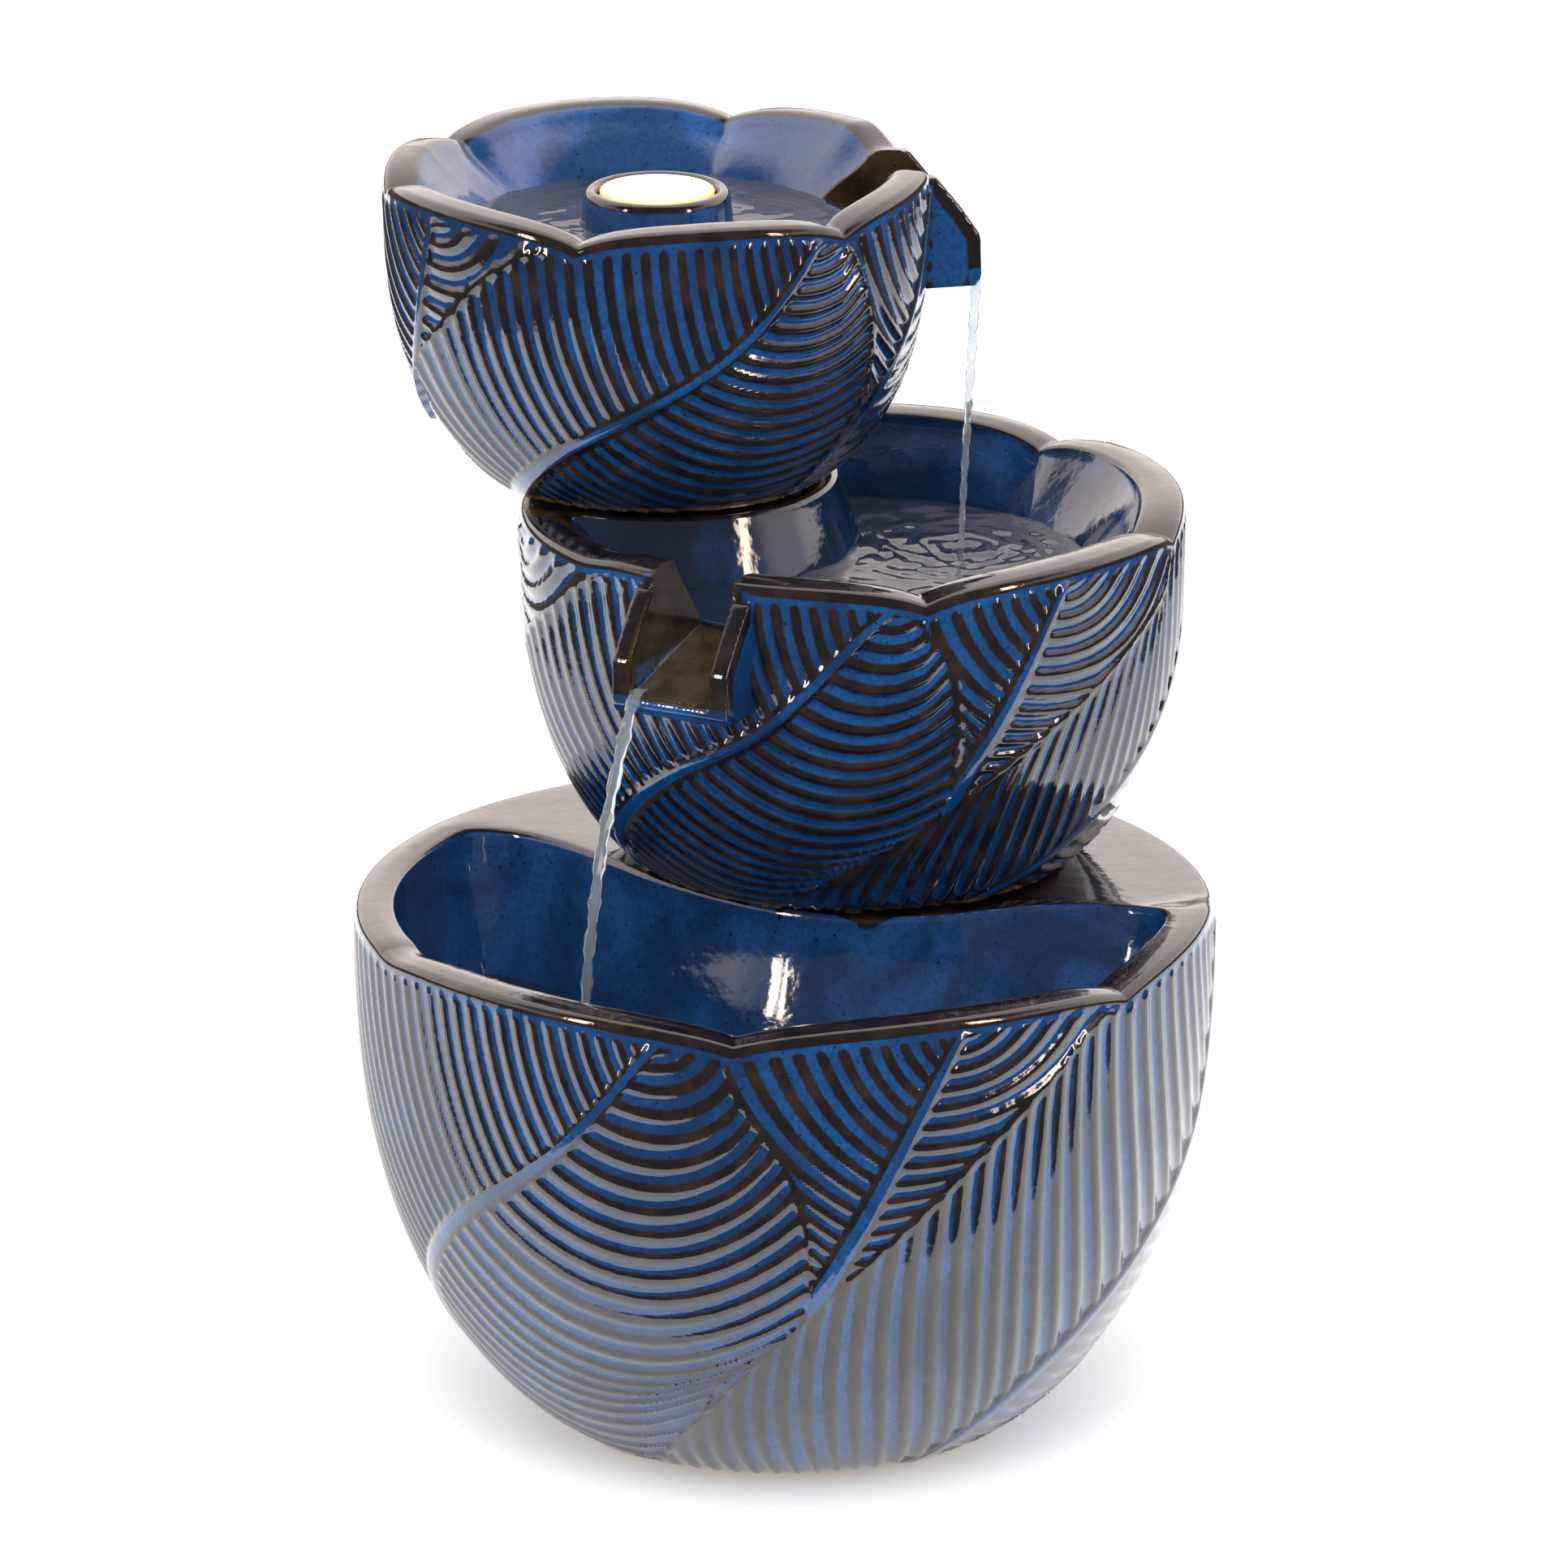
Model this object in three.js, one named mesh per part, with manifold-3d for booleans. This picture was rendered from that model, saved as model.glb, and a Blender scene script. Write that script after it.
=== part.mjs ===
// Three-tier tabletop water fountain: glazed ceramic bowls stacked on shelves, a lamp in the
// top bowl, a riser hose inside the hollow bowls and a submersible pump in the base.
// Millimetres, +Z up. The origin is on the floor under the middle of the base's foot.
import * as THREE from 'three';
import { mergeVertices } from 'three/addons/utils/BufferGeometryUtils.js';
import Module from 'manifold-3d';

const wasm = await Module();
wasm.setup();

// ---------------------------------------------------------------- driving dimensions
const GAP = 0.3;                      // clearance between pieces that touch
const WALL = 9;                       // ceramic wall
const PAD = {                         // rubber pads under the bowls
  height: 1.4,
  middle: { radius: 4, circle: 83.5, angles: [0, 90, 180, 270] },
  top: { radius: 3.8, circle: 63.5, angles: [80, 222, 330] },
};
const BOWL_STEPS = 40;                // facets round a bowl

const FOOT_PAD = { radius: 86, height: 2 - GAP };   // round foam sheet glued under the base
const BASE = {
  x: 0, y: 0, bottom: 2, notchLevel: 214, deck: 218,
  foot: 92, rim: 175, rimInner: 158, arch: 8, notchWidth: 9,
  notches: [-158, -96.7, -38.8], flatMiddle: 100, flatHalf: 98, flatLift: 4,
};
const MIDDLE = {
  x: 28, y: 64, bottom: 220, notchLevel: 363, deck: 368,
  foot: 88, rim: 136, rimInner: 118, arch: 8, notchWidth: 8,
  notches: [-77.7, -17, 49], flatMiddle: 160, flatHalf: 55, flatLift: 5,
};
const TOP = {
  x: -52, y: 107, bottom: 370, notchLevel: 491.6, deck: 491.6,
  foot: 68, rim: 112, rimInner: 97, arch: 8, notchWidth: 9,
  notches: [-47, -106.4, -172.5, 144, 74], flatMiddle: 14, flatHalf: 12, flatLift: 1,
};
const FLAT_BLEND = 12;                // degrees over which a petal edge runs into a flat stretch

const BASE_FLOOR = 10;                // thickness of the base's bottom
const CURTAIN_BOTTOM = 70;            // lower edge of the wall that hides the pump
const WELL_RADIUS = 158.5;            // front edge of the crescent opening
const WELL_ENDS = { right: -12, left: 147 };
const WELL_BACK = [                   // back edge of the crescent, from left lobe to right lobe
  [-114, 84], [-96, 72], [-76, 51], [-56, 27], [-30, 3], [0, -17],
  [30, -27], [66, -24], [100, -13], [130, -12], [148, -20],
];

const MIDDLE_BASIN = [[98, -23], [88, -38], [74, -58], [60, -66]];   // radius, depth below notches
const TOP_BASIN = [[78, -17], [69, -30], [62, -41], [58, -46]];
const PEDESTAL = { x: -49, y: 107, profile: [[72, -3], [76, -18], [82, -48], [92, -78]] };
const PEDESTAL_HOLE = { x: -48, y: 64, radius: 16 };
const BOSS = { topRadius: 29, footRadius: 36, top: 488 };

const SPOUT = {                       // outward from the rim, and down from the notch level
  block: [[0, 0], [10, -12.5], [18.5, -25], [19.5, -43], [17, -47]],
  lip: -40, channelTop: 30, cheek: 8, width: 36,
};
const MIDDLE_SPOUT = { angle: -118.5, floor: -26, root: 92 };
const TOP_SPOUT = { angle: 14, floor: -22, root: 74 };

const HOSE = { outer: 8.5, bore: 6.3 };
const HOSE_AT = { x: -30, y: 70 };
const NOZZLE = 5.5;                   // pump outlet spigot
const INLET = {
  x: TOP.x, y: TOP.y - 47, flange: 8.5, body: 5.5, bore: 3.8,
  tubeBottom: 412, flangeBottom: 445.9, flangeTop: 448.6,
  washer: 10.5, washerBottom: 435.8, washerTop: 437.3, nut: 11, nutBottom: 428, nutTop: 435.5,
};
const GROMMET = { hole: 12, neck: 11.7, flange: 14.5, flangeThickness: 2, wall: 10 };
const CLAMP = {
  band: 1.3, low: 64, high: 71, ear: [9.4, 16], earHalf: 1.8, earLow: 65.5, earHigh: 69.5,
};

const LAMP = {                        // heights are above the floor
  bore: 24.6, ledge: 470, ledgeUnder: 462.6, stem: 10, hollow: 25.5,
  cup: 24.1, cupWall: 2.6, cupBottom: 472, cupFloor: 474.5, cupTop: 483,
  step: 12, stepTop: 476, stemBottom: 444, leadHole: 4,
  board: 21, boardBottom: 476.3, boardTop: 477.6,
  emitter: 12, emitterBottom: 477.9, emitterTop: 479, dome: 9.5, domeTop: 479.8,
  reflectorFoot: 14, reflectorTop: 21.2,
  seal: [21.8, 24.2], sealBottom: 483.3, sealTop: 484.3,
  lens: 23.5, lensBottom: 484.6, lensEdge: 487, lensTop: 488.8,
  washer: 18, washerBottom: 460.9, nut: 19, nutBottom: 451, nutTop: 460.6,
  gland: [2.6, 7.5], glandBottom: 437, glandTop: 443.7,
};
const GLAND = {
  angle: 78, height: 188, body: 5.7, bore: 3, flange: 9,
  inner: 156, face: 175.7, outer: 179.5, nut: 10, nutBack: 158, nutFace: 163.6,
};

const PUMP = {                        // axis along X, strainer at the -X end
  y: 70, axisHeight: 37, halfWidth: 19, bottom: 19.3, top: 57,
  coverFront: -52, chamberFront: -38, bodyFront: -22, bodyBack: 14, rotorWell: 8.3,
  rotorWellEnd: 8.6, corner: 5, nozzleTop: 78, room: 13.5, cord: 3.9, cordAbove: 12,
};
const ROTOR = {                       // along the pump's axis
  magnet: 7.2, magnetFront: -21, magnetBack: 5.5, hub: 5.5, disc: 11.6,
  vaneFront: -32.5, discFront: -24.6, discBack: -23, vanes: 6, vaneHalf: 0.8, bore: 1.5,
};
const SHAFT = { radius: 1.15, front: -35.4, back: 7.6 };
const BUSH = {
  bore: 1.5, front: 3.6, frontFrom: -37.4, frontTo: -33.2, rear: 7.9, rearFrom: 6, rearTo: 8.2,
};
const EYE = { hub: 5.4, outer: 9.5, bushHole: 3.9, spokes: 3, spokeHalf: 1, plate: 2.2 };
const KNOB = { dial: 7.5, dialLength: 5, stem: 3, stemEnd: 5, hole: 3.4, gripHalf: 1.2, gripReach: 6.5 };
const FOAM = { front: 7.9, inset: 3, hole: 7 };
const SLOT = { inner: 9.5, outer: 14, tall: 2.4, every: 5 };
const SUCTION_CUPS = [[-30, 58], [-30, 82], [6, 58], [6, 82]];

// ---------------------------------------------------------------- materials
function material(color, roughness, metalness = 0) {
  return new THREE.MeshStandardMaterial({ color, roughness, metalness });
}
const GLAZE = 0x1b3f86;
const RUBBER = 0x26262a;
const BLACK_PLASTIC = 0x1d1e21;

// ---------------------------------------------------------------- solids
const radians = (degrees) => degrees * Math.PI / 180;

function solid(geometry) {
  const bare = geometry.clone();
  bare.deleteAttribute('normal');
  bare.deleteAttribute('uv');
  const merged = mergeVertices(bare, 1e-4);
  const places = merged.attributes.position.array;
  const corners = [];
  let volume = 0;
  for (let i = 0; i < merged.index.count; i += 3) {
    const [a, b, c] = [0, 1, 2].map((k) => merged.index.getX(i + k));
    if (a === b || b === c || a === c) continue;
    corners.push([a, b, c]);
    const [p, q, r] = [a, b, c].map((k) => new THREE.Vector3().fromArray(places, 3 * k));
    volume += p.dot(q.cross(r));
  }
  const outward = volume > 0 ? corners : corners.map(([a, b, c]) => [a, c, b]);
  return new wasm.Manifold(new wasm.Mesh({
    numProp: 3,
    vertProperties: new Float32Array(places),
    triVerts: new Uint32Array(outward.flat()),
  }));
}

function turned(profile, steps = 24) {
  const points = profile.map(([radius, height]) => new THREE.Vector2(radius, height));
  const onAxis = profile[0][0] === 0 && profile.at(-1)[0] === 0;
  if (!onAxis) points.push(points[0].clone());
  return new THREE.LatheGeometry(points, steps).rotateX(Math.PI / 2);
}

function ring(inner, outer, low, high, steps = 24) {
  return solid(turned([[inner, low], [outer, low], [outer, high], [inner, high]], steps));
}

function disc(radius, low, high, steps = 24) {
  return solid(turned([[0, low], [radius, low], [radius, high], [0, high]], steps));
}

function block(x0, x1, y0, y1, z0, z1) {
  const geometry = new THREE.BoxGeometry(x1 - x0, y1 - y0, z1 - z0);
  return solid(geometry.translate((x0 + x1) / 2, (y0 + y1) / 2, (z0 + z1) / 2));
}

function prism(points, depth) {
  const shape = new THREE.Shape(points.map(([x, y]) => new THREE.Vector2(x, y)));
  return solid(new THREE.ExtrudeGeometry(shape, { depth, bevelEnabled: false }));
}

// A hexagonal or round turned piece whose axis runs along +X from the origin.
function alongX(shape) {
  return shape.rotate([0, 90, 0]);
}

// ---------------------------------------------------------------- bowls
const angleBetween = (a, b) => Math.abs(((a - b + 540) % 360) - 180);
const smooth = (t) => {
  const held = Math.min(1, Math.max(0, t));
  return held * held * (3 - 2 * held);
};

// Outer radius of a bowl at a height above its foot: steep at the foot, upright at the rim.
function outerRadius(bowl, height) {
  const u = Math.min(1, Math.max(0, height / (bowl.notchLevel - bowl.bottom)));
  return bowl.foot + (bowl.rim - bowl.foot) * (1 - (1 - u) ** 2.6) ** 0.75;
}

// Height of the petal edge above the level of its notches.
function rimLift(bowl, angle) {
  const away = Math.min(...bowl.notches.map((notch) => angleBetween(angle, notch)));
  const petal = bowl.arch * (1 - Math.exp(-away / bowl.notchWidth));
  const past = angleBetween(angle, bowl.flatMiddle) - bowl.flatHalf;
  return THREE.MathUtils.lerp(bowl.flatLift, petal, smooth(past / FLAT_BLEND));
}

function wallHeights(bowl, top) {
  const full = bowl.notchLevel - bowl.bottom;
  return [0, 0.03, 0.09, 0.2, 0.35, 0.55, 0.75].map((part) => part * full).filter((z) => z < top - 4);
}

function bowlOutside(bowl) {
  const top = bowl.notchLevel - bowl.bottom;
  const wall = wallHeights(bowl, top - 14).map((z) => [outerRadius(bowl, z), z]);
  const edge = [[bowl.rim, top - 14], [bowl.rim, top - 5], [bowl.rim - 2, top - 1.2], [bowl.rim - 5, top]];
  const deck = bowl.deck - bowl.bottom;
  const inner = [[bowl.rimInner, top], [bowl.rimInner - 3, deck], [0, deck]];
  const geometry = turned([[0, 0], ...wall, ...edge, ...inner], BOWL_STEPS);
  const places = geometry.attributes.position;
  for (let i = 0; i < places.count; i += 1) {
    const [x, y, z] = [places.getX(i), places.getY(i), places.getZ(i)];
    const onRim = Math.hypot(x, y) > bowl.rimInner - 1;
    if (!onRim || z < top - 10) continue;
    places.setZ(i, z + rimLift(bowl, THREE.MathUtils.radToDeg(Math.atan2(y, x))));
  }
  return solid(geometry).translate([bowl.x, bowl.y, bowl.bottom]);
}

// The space inside the outer wall, from below the foot up to a height under the rim.
function insideWall(bowl, from, to, low) {
  const heights = [from, ...wallHeights(bowl, to).filter((z) => z > from), to];
  const wall = heights.map((z) => [outerRadius(bowl, z) - WALL, z]);
  const profile = [[0, low], [wall[0][0], low], ...wall, [0, to]];
  return solid(turned(profile, BOWL_STEPS)).translate([bowl.x, bowl.y, bowl.bottom]);
}

// The basin that holds the water, grown outward when it is the basin's underside.
function basin(bowl, depths, grow) {
  const side = depths.map(([radius, depth]) => [radius + grow, depth - grow]);
  const mouth = [[bowl.rimInner + grow, -grow], [bowl.rimInner + grow, 30]];
  const floor = side.at(-1);
  const profile = [[0, floor[1]], ...side.reverse(), ...mouth, [0, 30]];
  return solid(turned(profile, BOWL_STEPS)).translate([bowl.x, bowl.y, bowl.notchLevel]);
}

function spoutPart(bowl, spout, outline, halfWidth) {
  const upright = prism(outline, 2 * halfWidth).translate([0, 0, -halfWidth]).rotate([90, 0, 0]);
  return upright.rotate([0, 0, spout.angle]).translate([bowl.x, bowl.y, bowl.notchLevel]);
}

function spoutBlock(bowl, spout) {
  const outside = SPOUT.block.map(([out, z]) => [bowl.rim + out, z]);
  const outline = [...outside, [spout.root, outside.at(-1)[1]], [spout.root, 0]];
  return spoutPart(bowl, spout, outline, SPOUT.width / 2 + SPOUT.cheek);
}

function spoutChannel(bowl, spout) {
  const end = bowl.rim + 40;
  const slope = (SPOUT.lip - spout.floor) / (bowl.rim + 19.5 - spout.root - 8);
  const endFloor = SPOUT.lip + slope * (end - bowl.rim - 19.5);
  const outline = [
    [spout.root - 30, SPOUT.channelTop], [spout.root - 30, spout.floor],
    [spout.root + 8, spout.floor], [end, endFloor], [end, SPOUT.channelTop],
  ];
  return spoutPart(bowl, spout, outline, SPOUT.width / 2);
}

// ---------------------------------------------------------------- base
function wellOutline(grow) {
  const arc = [];
  for (let angle = WELL_ENDS.right; angle >= WELL_ENDS.left - 360; angle -= 6.7) {
    arc.push([WELL_RADIUS * Math.cos(radians(angle)), WELL_RADIUS * Math.sin(radians(angle))]);
  }
  const back = new THREE.SplineCurve(WELL_BACK.map(([x, y]) => new THREE.Vector2(x, y)));
  const loop = [...arc, ...back.getPoints(22).map((point) => [point.x, point.y])];
  return loop.map(([x, y], i) => {
    const before = loop.at(i - 1);
    const after = loop[(i + 1) % loop.length];
    const along = new THREE.Vector2(after[0] - before[0], after[1] - before[1]).normalize();
    return [x + grow * along.y, y - grow * along.x];
  });
}

function makeBase() {
  const well = wellOutline(0);
  const wellGrown = wellOutline(-WALL + 1);
  const outside = bowlOutside(BASE);
  const cavity = insideWall(BASE, BASE_FLOOR, BASE.deck - BASE.bottom - 10, BASE_FLOOR);
  const opening = prism(well, 60).translate([0, 0, BASE.deck - 30]);
  const curtainHeight = BASE.deck - 6 - CURTAIN_BOTTOM;
  const curtain = prism(wellGrown, curtainHeight).subtract(prism(well, curtainHeight + 2))
    .translate([0, 0, CURTAIN_BOTTOM]).intersect(outside);
  const hoseHole = disc(GROMMET.hole, BASE.deck - 20, BASE.deck + 10).translate([HOSE_AT.x, HOSE_AT.y, 0]);
  const cordHole = alongX(disc(GLAND.body + 0.5, 150, 190, 24)).rotate([0, 0, GLAND.angle])
    .translate([0, 0, GLAND.height]);
  return outside.subtract(cavity).subtract(opening).add(curtain).subtract(hoseHole).subtract(cordHole);
}

// ---------------------------------------------------------------- middle bowl
function pedestal(shrink) {
  const side = PEDESTAL.profile.map(([radius, depth]) => [radius - shrink, depth]);
  const top = [[side[0][0] - 3, -shrink], [0, -shrink]];
  const low = side.at(-1)[1] - 10;
  side[0][1] -= shrink;
  const profile = [[0, low], [side.at(-1)[0], low], ...side.reverse(), ...top];
  return solid(turned(profile)).translate([PEDESTAL.x, PEDESTAL.y, MIDDLE.deck]);
}

function makeMiddle() {
  const top = MIDDLE.notchLevel - MIDDLE.bottom;
  const water = basin(MIDDLE, MIDDLE_BASIN, 0).subtract(pedestal(0));
  const under = basin(MIDDLE, MIDDLE_BASIN, WALL).subtract(pedestal(WALL));
  const hollow = insideWall(MIDDLE, 0, top - 24, -5).subtract(under);
  const lobe = pedestal(WALL).intersect(insideWall(MIDDLE, 0, MIDDLE.deck - MIDDLE.bottom - WALL, -5));
  const hole = disc(PEDESTAL_HOLE.radius, MIDDLE.deck - 20, MIDDLE.deck + 5)
    .translate([PEDESTAL_HOLE.x, PEDESTAL_HOLE.y, 0]);
  return bowlOutside(MIDDLE).subtract(hollow).subtract(lobe).add(spoutBlock(MIDDLE, MIDDLE_SPOUT))
    .subtract(water).subtract(spoutChannel(MIDDLE, MIDDLE_SPOUT)).subtract(hole);
}

// ---------------------------------------------------------------- top bowl
function makeTop() {
  const top = TOP.notchLevel - TOP.bottom;
  const floor = TOP.notchLevel + TOP_BASIN.at(-1)[1];
  const boss = solid(turned([
    [0, floor - 5], [BOSS.footRadius + 1, floor - 5], [BOSS.footRadius, floor],
    [BOSS.topRadius + 0.6, BOSS.top - 1.5], [BOSS.topRadius - 1, BOSS.top], [0, BOSS.top],
  ])).translate([TOP.x, TOP.y, 0]);
  const bossInside = disc(LAMP.hollow, floor - 30, LAMP.ledgeUnder).translate([TOP.x, TOP.y, 0]);
  const water = basin(TOP, TOP_BASIN, 0).subtract(boss);
  const under = basin(TOP, TOP_BASIN, WALL - 1).subtract(bossInside);
  const hollow = insideWall(TOP, 0, top - 22, -5).subtract(under);
  const lampBore = disc(LAMP.bore, LAMP.ledge, BOSS.top + 9)
    .add(disc(LAMP.stem + 0.5, LAMP.ledgeUnder - 5, LAMP.ledge + 5)).translate([TOP.x, TOP.y, 0]);
  const inletHole = disc(INLET.body + 0.4, floor - 20, floor + 5, 24).translate([INLET.x, INLET.y, 0]);
  return bowlOutside(TOP).subtract(hollow).add(spoutBlock(TOP, TOP_SPOUT)).subtract(water)
    .subtract(spoutChannel(TOP, TOP_SPOUT)).subtract(lampBore).subtract(inletHole);
}

// ---------------------------------------------------------------- lamp
function lampPiece(shape) {
  return shape.translate([TOP.x, TOP.y, 0]);
}

function lampHousing() {
  const inside = LAMP.cup - LAMP.cupWall;
  const cup = disc(LAMP.cup, LAMP.cupBottom, LAMP.cupTop)
    .subtract(disc(inside, LAMP.cupFloor, LAMP.cupTop + 1));
  const stem = disc(LAMP.stem, LAMP.stemBottom, LAMP.cupBottom + 1);
  const step = ring(LAMP.step, inside + 0.5, LAMP.cupFloor - 0.5, LAMP.stepTop);
  const leadHole = disc(LAMP.leadHole, LAMP.stemBottom - 4, LAMP.cupFloor + 0.5, 24);
  return lampPiece(cup.add(stem).add(step).subtract(leadHole));
}

function lampLens() {
  return lampPiece(solid(turned([
    [0, LAMP.lensBottom], [LAMP.lens, LAMP.lensBottom], [LAMP.lens, LAMP.lensEdge],
    [LAMP.lens - 0.9, LAMP.lensTop - 0.9], [14, LAMP.lensTop - 0.2], [0, LAMP.lensTop],
  ])));
}

function ledEmitter() {
  const base = disc(LAMP.emitter, LAMP.emitterBottom, LAMP.emitterTop);
  return lampPiece(base.add(disc(LAMP.dome, LAMP.emitterTop - 0.5, LAMP.domeTop)));
}

function reflector() {
  return lampPiece(solid(turned([
    [LAMP.reflectorFoot, LAMP.emitterBottom], [LAMP.reflectorFoot + 1, LAMP.emitterBottom],
    [LAMP.reflectorTop, LAMP.cupTop - 0.4], [LAMP.reflectorTop, LAMP.cupTop],
    [LAMP.reflectorTop - 1, LAMP.cupTop],
  ])));
}

// ---------------------------------------------------------------- water inlet and hose
function inletPiece(shape) {
  return shape.translate([INLET.x, INLET.y, 0]);
}

function inletFitting() {
  const flange = disc(INLET.flange, INLET.flangeBottom, INLET.flangeTop, 24);
  const tube = disc(INLET.body, INLET.tubeBottom, INLET.flangeTop - 1.6, 24);
  const bore = disc(INLET.bore, INLET.tubeBottom - 12, INLET.flangeTop + 6, 24);
  return inletPiece(flange.add(tube).subtract(bore));
}

function hexNut(acrossCorners, bore, low, high) {
  return disc(acrossCorners, low, high, 6).subtract(disc(bore, low - 1, high + 1, 24));
}

function riserHose() {
  const route = new THREE.CatmullRomCurve3([
    [HOSE_AT.x, HOSE_AT.y, 61], [HOSE_AT.x, HOSE_AT.y, 110], [HOSE_AT.x, HOSE_AT.y, 170],
    [HOSE_AT.x, HOSE_AT.y, 215], [HOSE_AT.x, HOSE_AT.y, 240], [-34, 68, 285], [-42, 64, 335],
    [-49, 61, 380], [INLET.x, INLET.y, 410], [INLET.x, INLET.y, 427],
  ].map((place) => new THREE.Vector3(...place)), false, 'centripetal');
  const tube = (radius, extra) => {
    const shape = new THREE.Shape().absarc(0, 0, radius, 0, 2 * Math.PI, false);
    const path = extra ? new THREE.CatmullRomCurve3([
      route.getPoint(0).setZ(59), ...route.getSpacedPoints(16), route.getPoint(1).setZ(429),
    ], false, 'centripetal') : route;
    const options = { steps: 20, extrudePath: path, bevelEnabled: false, curveSegments: 5 };
    return solid(new THREE.ExtrudeGeometry(shape, options));
  };
  return tube(HOSE.outer, false).subtract(tube(HOSE.bore, true));
}

function hoseClamp() {
  const inner = HOSE.outer + GAP;
  const band = ring(inner, inner + CLAMP.band, CLAMP.low, CLAMP.high);
  const [earFrom, earTo] = CLAMP.ear;
  const ear = block(earFrom, earTo, -CLAMP.earHalf, CLAMP.earHalf, CLAMP.earLow, CLAMP.earHigh);
  return band.add(ear).translate([HOSE_AT.x, HOSE_AT.y, 0]);
}

function hoseGrommet() {
  const { neck, flange, flangeThickness } = GROMMET;
  const bore = HOSE.outer + 0.5;
  const under = BASE.deck - GROMMET.wall - GAP;
  const over = BASE.deck + GAP;
  const low = under - flangeThickness;
  const high = over + flangeThickness - 0.1;
  return solid(turned([
    [bore, low], [flange, low], [flange, under], [neck, under],
    [neck, over], [flange, over], [flange, high], [bore, high],
  ])).translate([HOSE_AT.x, HOSE_AT.y, 0]);
}

// ---------------------------------------------------------------- cord gland in the base wall
function inBaseWall(shape) {
  return alongX(shape).rotate([0, 0, GLAND.angle]).translate([0, 0, GLAND.height]);
}

function cordGland() {
  const flange = disc(GLAND.flange, GLAND.face, GLAND.outer, 24);
  const body = disc(GLAND.body, GLAND.inner, GLAND.face + 0.3, 24);
  return inBaseWall(flange.add(body).subtract(disc(GLAND.bore, GLAND.inner - 6, GLAND.outer + 6, 20)));
}

// ---------------------------------------------------------------- pump
function pumpAxis(shape) {
  return alongX(shape).translate([0, PUMP.y, PUMP.axisHeight]);
}

function pumpBox(x0, x1, inset) {
  const half = PUMP.halfWidth - inset;
  const low = PUMP.bottom + inset;
  const high = PUMP.top - inset;
  const cut = PUMP.corner - inset / 2;
  const outline = [
    [-half + cut, low], [half - cut, low], [half, low + cut], [half, high - cut],
    [half - cut, high], [-half + cut, high], [-half, high - cut], [-half, low + cut],
  ];
  return prism(outline, x1 - x0).rotate([90, 0, 90]).translate([x0, PUMP.y, 0]);
}

function pumpBody() {
  const well = pumpAxis(disc(PUMP.rotorWell, PUMP.bodyFront - 1, PUMP.rotorWellEnd));
  const glandHole = alongX(disc(PUMP.cord, PUMP.bodyBack - 6, PUMP.bodyBack + 1, 20))
    .translate([0, PUMP.y, PUMP.axisHeight + PUMP.cordAbove]);
  return pumpBox(PUMP.bodyFront, PUMP.bodyBack, 0).subtract(well).subtract(glandHole);
}

function pumpChamber() {
  const front = PUMP.chamberFront + GAP;
  const back = PUMP.bodyFront - GAP;
  const room = pumpAxis(disc(PUMP.room, front + EYE.plate, back + 1));
  const boss = pumpAxis(disc(EYE.hub, front + 1, front + 4, 24));
  const bushHole = pumpAxis(disc(EYE.bushHole, front - 1, front + 5, 20));
  const spoke = block(0, EYE.outer + 2.5, -EYE.spokeHalf, EYE.spokeHalf, front - 2, front + 4);
  let eye = pumpAxis(ring(EYE.hub, EYE.outer, front - 1, front + EYE.plate + 0.1, 24));
  for (let i = 0; i < EYE.spokes; i += 1) {
    eye = eye.subtract(pumpAxis(spoke.rotate([0, 0, i * 360 / EYE.spokes])));
  }
  const nozzle = disc(NOZZLE, PUMP.top - 3, PUMP.nozzleTop, 24).translate([HOSE_AT.x, PUMP.y, 0]);
  const bore = disc(NOZZLE - 1.3, PUMP.axisHeight + 8, PUMP.nozzleTop + 2, 24)
    .translate([HOSE_AT.x, PUMP.y, 0]);
  return pumpBox(front, back, 0).subtract(room).add(boss).subtract(eye).subtract(bushHole)
    .add(nozzle).subtract(bore);
}

function pumpCover() {
  let cover = pumpBox(PUMP.coverFront, PUMP.chamberFront, 0)
    .subtract(pumpBox(PUMP.coverFront + 2.5, PUMP.chamberFront + 1, 2.2));
  for (let z = PUMP.bottom + 6; z < PUMP.top - 7; z += SLOT.every) {
    for (const [from, to] of [[-SLOT.outer, -SLOT.inner], [SLOT.inner, SLOT.outer]]) {
      const slot = block(
        PUMP.coverFront - 1, PUMP.coverFront + 4, PUMP.y + from, PUMP.y + to, z, z + SLOT.tall,
      );
      cover = cover.subtract(slot);
    }
  }
  return cover.subtract(pumpAxis(disc(KNOB.hole, PUMP.coverFront - 1, PUMP.coverFront + 5, 24)));
}

function flowKnob() {
  const front = PUMP.coverFront - KNOB.dialLength;
  const dial = disc(KNOB.dial, front, PUMP.coverFront - GAP, 24);
  const stem = disc(KNOB.stem, PUMP.coverFront - 1, PUMP.coverFront + KNOB.stemEnd, 20);
  const grip = block(
    -KNOB.gripHalf, KNOB.gripHalf, -KNOB.gripReach, KNOB.gripReach, front - 3, front + 1,
  );
  return pumpAxis(dial.add(stem).add(grip));
}

function filterFoam() {
  const pad = pumpBox(PUMP.coverFront + FOAM.front, PUMP.chamberFront - GAP, FOAM.inset);
  return pad.subtract(pumpAxis(disc(FOAM.hole, PUMP.coverFront, PUMP.chamberFront + 1, 24)));
}

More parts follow.
